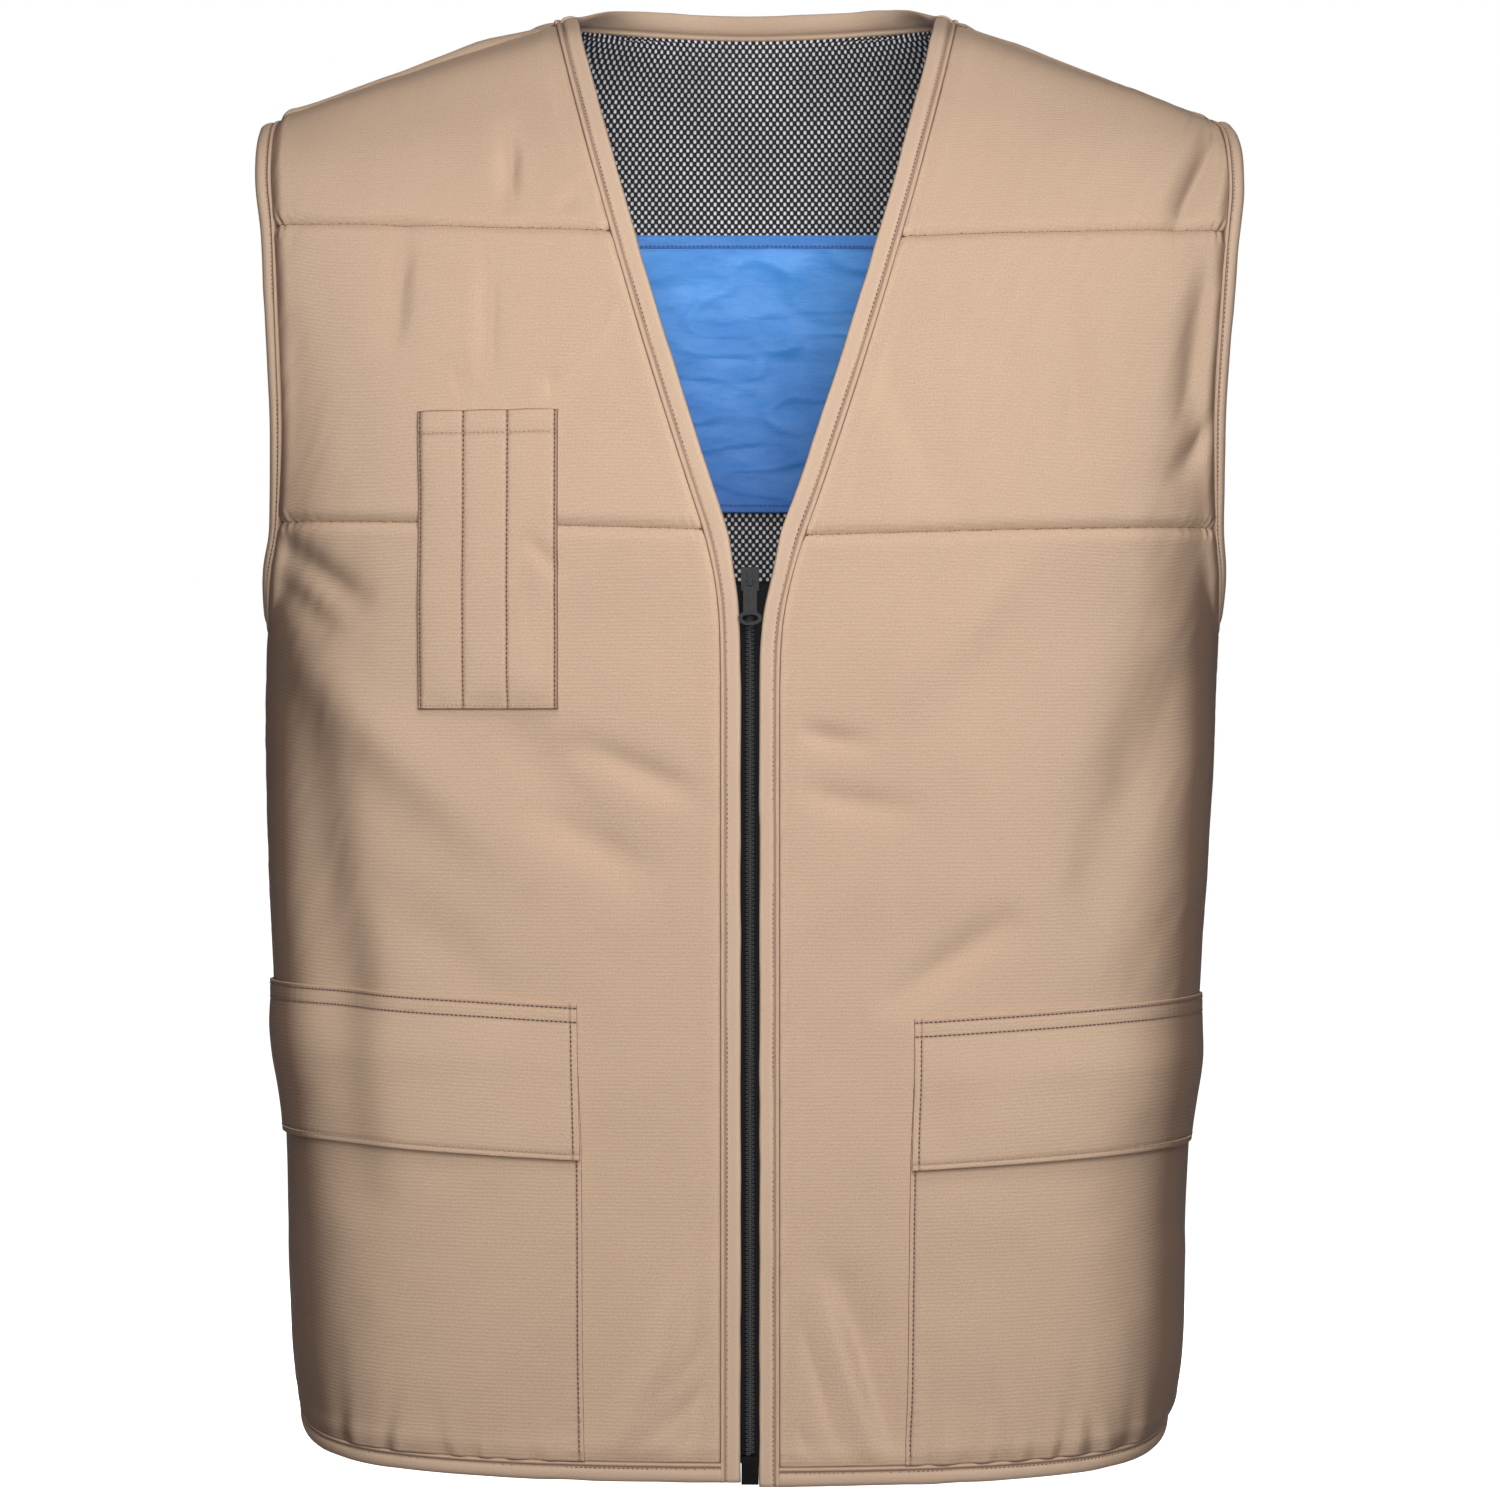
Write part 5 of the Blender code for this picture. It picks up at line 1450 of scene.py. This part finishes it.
@cache
def metal_material():
    """Black coated metal, rubbed a little brighter in places."""
    made, nodes, shader = new_material("coated metal", Specular_IOR_Level=0.05)
    place = nodes.place()
    grain = nodes.noise(place, 1100.0, 3.0, 0.6)
    rubbed = nodes.range(nodes.noise(place, 160.0, 4.0, 0.7), 0.52, 0.75)
    colour = nodes.blend(rubbed, (0.002, 0.002, 0.0025, 1.0), (0.012, 0.012, 0.013, 1.0))
    nodes.put(colour, shader["Base Color"])
    nodes.put(nodes.range(grain, 0.3, 0.7, 0.22, 0.30), shader["Roughness"])
    nodes.put(bump(nodes, grain, 0.00003), shader["Normal"])
    return made


# Settings

class VestCloth(bpy.types.PropertyGroup):
    shell_colour: FloatVectorProperty(
        name="Shell colour", description="Colour of the ribbed shell cloth", subtype="COLOR",
        default=(0.566, 0.402, 0.288), min=0.0, max=1.0,
    )
    # Colour of the painted shade, in the grooves of seams and on cloth turned to the side
    painted_shade_colour: FloatVectorProperty(
        name="Seam colour", description="Colour of the cloth in the grooves of its seams", subtype="COLOR",
        default=(0.180, 0.098, 0.064), min=0.0, max=1.0,
    )
    binding_colour: FloatVectorProperty(
        name="Binding colour", description="Colour of the folded bindings", subtype="COLOR",
        default=(0.590, 0.425, 0.310), min=0.0, max=1.0,
    )
    fold_strength: FloatProperty(
        name="Folds", description="How deep the folds are, as a share of those in their table",
        default=1.8, min=0.0, max=3.0, subtype="FACTOR",
    )
    quilt_depth: FloatProperty(
        name="Quilt depth", description="Depth of the grooves along the quilt lines",
        default=0.0016, min=0.0, max=0.003, unit="LENGTH",
    )
    rib_pitch: FloatProperty(
        name="Rib pitch", description="Distance between two ribs of the shell cloth",
        default=0.0018, min=0.0008, max=0.004, unit="LENGTH",
    )


class VestLining(bpy.types.PropertyGroup):
    net_colour: FloatVectorProperty(
        name="Net colour", description="Colour of the threads of the net", subtype="COLOR",
        default=(0.012, 0.012, 0.014), min=0.0, max=1.0,
    )
    filling_colour: FloatVectorProperty(
        name="Filling colour", description="Colour that shows in the holes of the net", subtype="COLOR",
        default=(0.92, 0.92, 0.97), min=0.0, max=1.0,
    )
    hole_pitch: FloatProperty(
        name="Hole pitch", description="Distance between two holes in one row of the net",
        default=0.0036, min=0.001, max=0.01, unit="LENGTH",
    )
    hole_rows: FloatProperty(
        name="Hole rows", description="Distance between two rows of holes",
        default=0.0022, min=0.001, max=0.01, unit="LENGTH",
    )
    insert_high_colour: FloatVectorProperty(
        name="Insert, upper colour", description="Colour of the upper part of the cooling insert",
        subtype="COLOR", default=(0.090, 0.400, 1.0), min=0.0, max=1.0,
    )
    insert_low_colour: FloatVectorProperty(
        name="Insert, lower colour", description="Colour of the lower part of the cooling insert",
        subtype="COLOR", default=(0.003, 0.085, 0.380), min=0.0, max=1.0,
    )


class VestStitching(bpy.types.PropertyGroup):
    thread_colour: FloatVectorProperty(
        name="Thread colour", description="Colour of the thread along seams", subtype="COLOR",
        default=(0.085, 0.040, 0.026), min=0.0, max=1.0,
    )
    pale_thread_colour: FloatVectorProperty(
        name="Pale thread colour", description="Colour of the thread along folded hems", subtype="COLOR",
        default=(0.50, 0.34, 0.23), min=0.0, max=1.0,
    )
    blue_thread_colour: FloatVectorProperty(
        name="Blue thread colour", description="Colour of the thread on the cooling insert", subtype="COLOR",
        default=(0.02, 0.09, 0.36), min=0.0, max=1.0,
    )
    pitch: FloatProperty(
        name="Stitch pitch", description="Distance between two stitches",
        default=0.0022, min=0.001, max=0.006, unit="LENGTH",
    )


class VestStudio(bpy.types.PropertyGroup):
    key_power: FloatProperty(
        name="Key light", description="Power of the main light",
        default=5.4, min=0.0, max=500.0, unit="POWER",
    )
    fill_power: FloatProperty(
        name="Fill light", description="Power of the light from the front",
        default=29.0, min=0.0, max=500.0, unit="POWER",
    )
    surroundings: FloatProperty(
        name="Surroundings", description="Strength of the even light from all round",
        default=0.06, min=0.0, max=5.0,
    )
    floor_height: FloatProperty(
        name="Floor height", description="Height of the floor",
        default=-0.98, min=-3.0, max=-0.72, unit="LENGTH",
    )


class VEST_OT_shell(bpy.types.Operator):
    """Make the two fronts and the back of the shell"""

    bl_idname = "vest.shell"
    bl_label = "Shell"

    def execute(self, context):
        for side, word in SIDES.items():
            grid = front_grid(side)
            piece = cloth_piece(f"front_{word}", grid, PANEL_THICKNESS, shell_material(), net_material())
            dress(piece, f"front_panel_{word}")
        piece = cloth_piece("back", back_grid(), PANEL_THICKNESS, shell_material(), net_material())
        dress(piece, "back_panel")
        return {"FINISHED"}


class VEST_OT_bindings(bpy.types.Operator):
    """Make the folded bindings along the front edges, the neck, the armholes and the hem"""

    bl_idname = "vest.bindings"
    bl_label = "Bindings"

    def execute(self, context):
        for name, run in binding_runs().items():
            closed = name.startswith("armhole")
            piece = binding_piece(f"{name}_cloth", run, binding_width(name, run), binding_material(), closed)
            dress(piece, name)
        bound = {
            "front_right": (front_grid(RIGHT), ["back"], ["front_edge_binding_right"]),
            "front_left": (front_grid(LEFT), ["back"], ["front_edge_binding_left"]),
            "back": (back_grid(), [], ["back_neck_binding", "armhole_binding_right", "armhole_binding_left",
                                       "hem_binding"]),
        }
        for name, (grid, above, edges) in bound.items():
            edges = [bpy.data.objects[f"{edge}_cloth"] for edge in edges]
        return {"FINISHED"}


class VEST_OT_pockets(bpy.types.Operator):
    """Make the two cargo pockets with their flaps, and the pen pocket"""

    bl_idname = "vest.pockets"
    bl_label = "Pockets"

    def execute(self, context):
        for side, word in SIDES.items():
            pieces = {
                f"cargo_pocket_{word}": pocket_grid(side),
                f"pocket_flap_{word}": flap_grid(side),
            }
            for node, grid in pieces.items():
                piece = cloth_piece(f"{node}_cloth", grid, POCKET_THICKNESS, shell_material())
                dress(piece, node)
        grid = pen_grid()
        piece = cloth_piece("pen_pocket_cloth", grid, POCKET_THICKNESS, shell_material())
        dress(piece, "pen_pocket")
        return {"FINISHED"}


class VEST_OT_lining(bpy.types.Operator):
    """Make the net inside the back, and the cooling insert with its two bands"""

    bl_idname = "vest.lining"
    bl_label = "Lining and insert"

    def execute(self, context):
        grid = lining_grid()
        net = cloth_piece("back_net", grid, LINING_THICKNESS, net_material())
        dress(net, "back_lining")
        grid = insert_grid()
        insert = cloth_piece("insert_cloth", grid, INSERT_THICKNESS, insert_material())
        dress(insert, "cooling_insert")
        bands = self.bands()
        return {"FINISHED"}

    def bands(self):
        lift = -(INSERT_INSIDE + INSERT_THICKNESS + GAP + BAND_THICKNESS / 2)
        foot = INSERT_TOP + INSERT_HEIGHT
        reaches = {
            "insert_band_top": (INSERT_TOP, INSERT_TOP + INSERT_BAND_TOP),
            "insert_band_bottom": (foot - INSERT_BAND_BOTTOM, foot),
        }
        made = []
        columns = even(-INSERT_SHARE, INSERT_SHARE, BAND_COUNT.columns)
        for node, (top, low) in reaches.items():
            base = level_back(columns, even(top, low, BAND_COUNT.rows)[::-1])
            uneven = 0.00012 * rumple(base[..., 0], base[..., 2], 0.012, 91)
            grid = finished_grid(base, lift + uneven)
            piece = cloth_piece(f"{node}_cloth", grid, BAND_THICKNESS, insert_material("insert band", 0.6))
            made.append(dress(piece, node))
        return made


class VEST_OT_stitching(bpy.types.Operator):
    """Make the rows of stitches on the bindings, the quilt lines, the pockets and the insert"""

    bl_idname = "vest.stitching"
    bl_label = "Stitching"

    def execute(self, context):
        pitch = context.scene.vest_stitching.pitch
        brown, pale, blue = (thread_material(name) for name in THREADS)
        stitches("binding_stitches", self.binding_lines(), brown, pitch)
        stitches("quilt_stitches", self.quilt_lines(), brown, pitch, QUILT_STITCH_WIDTH)
        stitches("pocket_stitches", self.pocket_lines(), brown, pitch)
        stitches("hem_stitches", self.hem_lines(), pale, pitch)
        stitches("insert_stitches", self.insert_lines(), blue, pitch)
        return {"FINISHED"}

    def binding_lines(self):
        lines = []
        for name, run in binding_runs().items():
            width = np.broadcast_to(binding_width(name, run), (len(run.points),))
            reach = ((STITCH_SHARE + 0.02) * width)[:, None]
            lift = STITCH_LIFT * BINDING_THICKNESS / 2
            lines.append((run.points + run.out * reach + run.facing * lift, run.facing))
        return lines

    def quilt_lines(self):
        lines = []
        for place in QUILT_PLACES:
            for side in SIDES:
                lines.append(self.row_line(front_grid(side), front_rows(), place))
            lines.append(self.row_line(back_grid(), back_rows(), place))
        return lines

    def row_line(self, grid, rows, place):
        index = min(int(np.searchsorted(rows, place)), len(rows) - 1)
        share = (place - rows[index - 1]) / (rows[index] - rows[index - 1])
        surface = grid.points + grid.facing * PANEL_THICKNESS / 2
        points = mix(surface[index - 1], surface[index], share)
        return points[1:-1], mix(grid.facing[index - 1], grid.facing[index], share)[1:-1]

    def pocket_lines(self):
        lines = []
        for side in SIDES:
            grid = pocket_grid(side)
            first = edge_distances(grid.points)[0]
            lines.append(grid_line(grid, POCKET_THICKNESS, first, POCKET_LINE, 0, start=0.004, end=0.01))
            grid = flap_grid(side)
            first, _, foot, top = edge_distances(grid.points)
            lines += [grid_line(grid, POCKET_THICKNESS, top, inset, 1) for inset in FLAP_TOP_LINES]
            lines.append(grid_line(grid, POCKET_THICKNESS, first, FLAP_INNER_LINE, 0, start=0.003, end=0.009))
        grid = pen_grid()
        last = edge_distances(grid.points)[1]
        last = last / last[:, :1] * PEN_WIDTH
        lines += [grid_line(grid, POCKET_THICKNESS, last, inset, 0, start=0.001) for inset in PEN_LINES]
        return lines

    def hem_lines(self):
        lines = []
        for side in SIDES:
            grid = flap_grid(side)
            foot = edge_distances(grid.points)[2]
            lines.append(grid_line(grid, POCKET_THICKNESS, foot, FLAP_FOOT_LINE, 1, start=0.003))
        grid = pen_grid()
        _, _, foot, top = edge_distances(grid.points)
        lines.append(grid_line(grid, POCKET_THICKNESS, top, PEN_HEM, 1, start=0.003, end=0.003))
        lines.append(grid_line(grid, POCKET_THICKNESS, foot, PEN_FOOT_LINE, 1, start=0.001, end=0.001))
        return lines

    def insert_lines(self):
        columns = even(-INSERT_SHARE, INSERT_SHARE, BAND_COUNT.columns)
        lift = -(INSERT_INSIDE + INSERT_THICKNESS + GAP + BAND_THICKNESS)
        upper = INSERT_TOP + INSERT_BAND_TOP - 0.0012
        lower = INSERT_TOP + INSERT_HEIGHT - INSERT_BAND_BOTTOM + 0.0010
        lines = []
        for down in (upper, lower):
            base = level_back(columns, np.array([down + 0.001, down, down - 0.001]))
            facing = outward(base)
            lines.append(((base + facing * lift)[1], -facing[1]))
        return lines


class VEST_OT_zip(bpy.types.Operator):
    """Make the zip: its tapes, two rows of coil, slider, pull, pin and box"""

    bl_idname = "vest.zip"
    bl_label = "Zip"

    def execute(self, context):
        self.tapes()
        self.coils()
        self.metal()
        return {"FINISHED"}

    def tapes(self):
        across = even(0.0, TAPE_REACH, TAPE_COUNT.columns)
        down = even(TAPE_TOP, PANEL_LENGTH + HEM_BINDING - GAP, TAPE_COUNT.rows)[::-1]
        for side, word in SIDES.items():
            base = measured_front(side, across, down)
            grid = finished_grid(base, np.full(base.shape[:2], TAPE_LIFT))
            piece = cloth_piece(f"zip_tape_{word}_cloth", grid, TAPE_THICKNESS, tape_material())
            dress(piece, f"zip_tape_{word}")

    def coils(self):
        """Each tooth of the coil is a bent loop. One is modelled, and the rows are copies of it."""
        loop, faces = coil_tooth()
        foot = PANEL_LENGTH + HEM_BINDING + BOX_BELOW_HEM - BOX_HEIGHT - 2 * GAP
        number = np.arange(int((foot - TAPE_TOP) / TOOTH_PITCH) + 1)
        table = (faces[None] + (number * len(loop))[:, None, None]).reshape(-1, faces.shape[1])
        for side, word in SIDES.items():
            down = TAPE_TOP + TOOTH_PITCH * (number + (0.25 if side > 0 else 0.75))
            centres = measured_front(side, np.array([0.0]), down)[:, 0] + (0.0, -COIL_LIFT, 0.0)
            verts = (centres[:, None] + loop[None] * (side, 1.0, 1.0)).reshape(-1, 3)
            piece = mesh_piece(f"zip_coil_{word}_teeth", verts, table)
            piece.data.materials.append(coil_material())
            point_outward(piece)
            dress(piece, f"zip_coil_{word}")

    def metal(self):
        for node in ("zip_slider", "zip_pull", "zip_retainer_box", "zip_insert_pin"):
            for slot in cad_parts[node].material_slots:
                slot.material = metal_material()


@cache
def coil_tooth():
    """One flattened loop of the coil, about its middle, reaching from the zip's middle line into the tape."""
    sizes = {"major_radius": 0.00095, "minor_radius": 0.00032}
    bpy.ops.mesh.primitive_torus_add(major_segments=8, minor_segments=4, **sizes)
    ring = bpy.context.active_object
    verts = np.array([v.co for v in ring.data.vertices])
    faces = np.array([p.vertices for p in ring.data.polygons])
    bpy.data.objects.remove(ring, do_unlink=True)
    x, y, z = verts.T
    turned = np.stack((x * 0.95 + 0.00085, z + y * 0.15, y * 0.55), axis=-1)
    turned[:, 1] += turned[:, 2] * 0.2
    return turned, faces


class VEST_OT_stage(bpy.types.Operator):
    """Make the camera, the soft studio lights and the pale floor"""

    bl_idname = "vest.stage"
    bl_label = "Studio"

    def execute(self, context):
        self.camera(context.scene)
        self.floor(context.scene.vest_studio)
        self.lights(context.scene, context.scene.vest_studio)
        return {"FINISHED"}

    def camera(self, scene):
        data = bpy.data.cameras.new("camera")
        data.sensor_width = SENSOR
        data.lens = LENS
        camera = bpy.data.objects.new("camera", data)
        camera.location = (0.0, -CAMERA_DISTANCE, CAMERA_HEIGHT)
        camera.rotation_euler = (np.pi / 2, 0.0, 0.0)
        scene.collection.objects.link(camera)
        scene.camera = camera

    def floor(self, studio):
        bpy.ops.mesh.primitive_plane_add(size=1.0)
        floor = bpy.context.active_object
        floor.name = "floor"
        bpy.ops.object.mode_set(mode="EDIT")
        bpy.ops.transform.resize(value=(FLOOR_SIDE, FLOOR_SIDE, 1.0))
        bpy.ops.transform.translate(value=(0.0, 0.0, studio.floor_height))
        bpy.ops.object.mode_set(mode="OBJECT")
        floor.data.materials.append(self.floor_material())
        floor.visible_diffuse = False

    def floor_material(self):
        made, nodes, shader = new_material("pale floor", Roughness=0.9, Specular_IOR_Level=0.1)
        place = nodes.place()
        tone = nodes.range(nodes.noise(place, 2.0), 0.3, 0.7, 0.98, 1.0)
        nodes.put(shaded(nodes, (0.93, 0.93, 0.93), tone), shader["Base Color"])
        shader["Emission Color"].default_value = WHITE
        shader["Emission Strength"].default_value = FLOOR_GLOW
        return made

    def lights(self, scene, studio):
        world = bpy.data.worlds.new("studio")
        scene.world = world
        world.use_nodes = True
        background = world.node_tree.nodes["Background"]
        nodes = Nodes(world.node_tree)
        seen = nodes.add("ShaderNodeLightPath").outputs["Is Camera Ray"]
        strength = nodes.range(seen, 0.0, 1.0, studio.surroundings, 1.0)
        nodes.put(strength, background.inputs["Strength"])
        nodes.put(nodes.blend(seen, WARM_GREY, WHITE), background.inputs["Color"])
        scene.view_settings.view_transform = "Standard"
        for row in LAMPS:
            data = bpy.data.lights.new(row.name, "AREA")
            data.size = row.size
            data.energy = row.of_key * studio.key_power + row.of_fill * studio.fill_power
            lamp = bpy.data.objects.new(row.name, data)
            lamp.location = row.place
            lamp.visible_camera = False
            lamp.rotation_euler = (Vector(row.target) - Vector(row.place)).to_track_quat("-Z", "Y").to_euler()
            scene.collection.objects.link(lamp)


class VEST_PT_panel(bpy.types.Panel):
    """Lists the steps that make the vest"""

    bl_label = "Cooling vest"
    bl_idname = "VEST_PT_panel"
    bl_space_type = "VIEW_3D"
    bl_region_type = "UI"
    bl_category = "Cooling vest"

    def draw(self, context):
        for settings in SETTINGS:
            group_of = getattr(context.scene, settings)
            for name in group_of.__annotations__:
                self.layout.prop(group_of, name)
        for step in STEPS:
            self.layout.operator(step.bl_idname)


SETTINGS = {
    "vest_cloth": VestCloth,
    "vest_lining": VestLining,
    "vest_stitching": VestStitching,
    "vest_studio": VestStudio,
}
STEPS = (
    VEST_OT_shell,
    VEST_OT_bindings,
    VEST_OT_pockets,
    VEST_OT_lining,
    VEST_OT_stitching,
    VEST_OT_zip,
    VEST_OT_stage,
)


def register():
    for settings in SETTINGS.values():
        bpy.utils.register_class(settings)
    for name, settings in SETTINGS.items():
        setattr(bpy.types.Scene, name, PointerProperty(type=settings))
    for step in STEPS:
        bpy.utils.register_class(step)
    bpy.utils.register_class(VEST_PT_panel)


def unregister():
    bpy.utils.unregister_class(VEST_PT_panel)
    for step in reversed(STEPS):
        bpy.utils.unregister_class(step)
    for name, settings in SETTINGS.items():
        delattr(bpy.types.Scene, name)
        bpy.utils.unregister_class(settings)


def main():
    """Makes the vest and its studio."""
    register()
    for thing in bpy.context.selected_objects:
        thing.select_set(False)
    bpy.ops.vest.shell()
    bpy.ops.vest.bindings()
    bpy.ops.vest.pockets()
    bpy.ops.vest.lining()
    bpy.ops.vest.stitching()
    bpy.ops.vest.zip()
    bpy.ops.vest.stage()


if __name__ == "__main__":
    main()
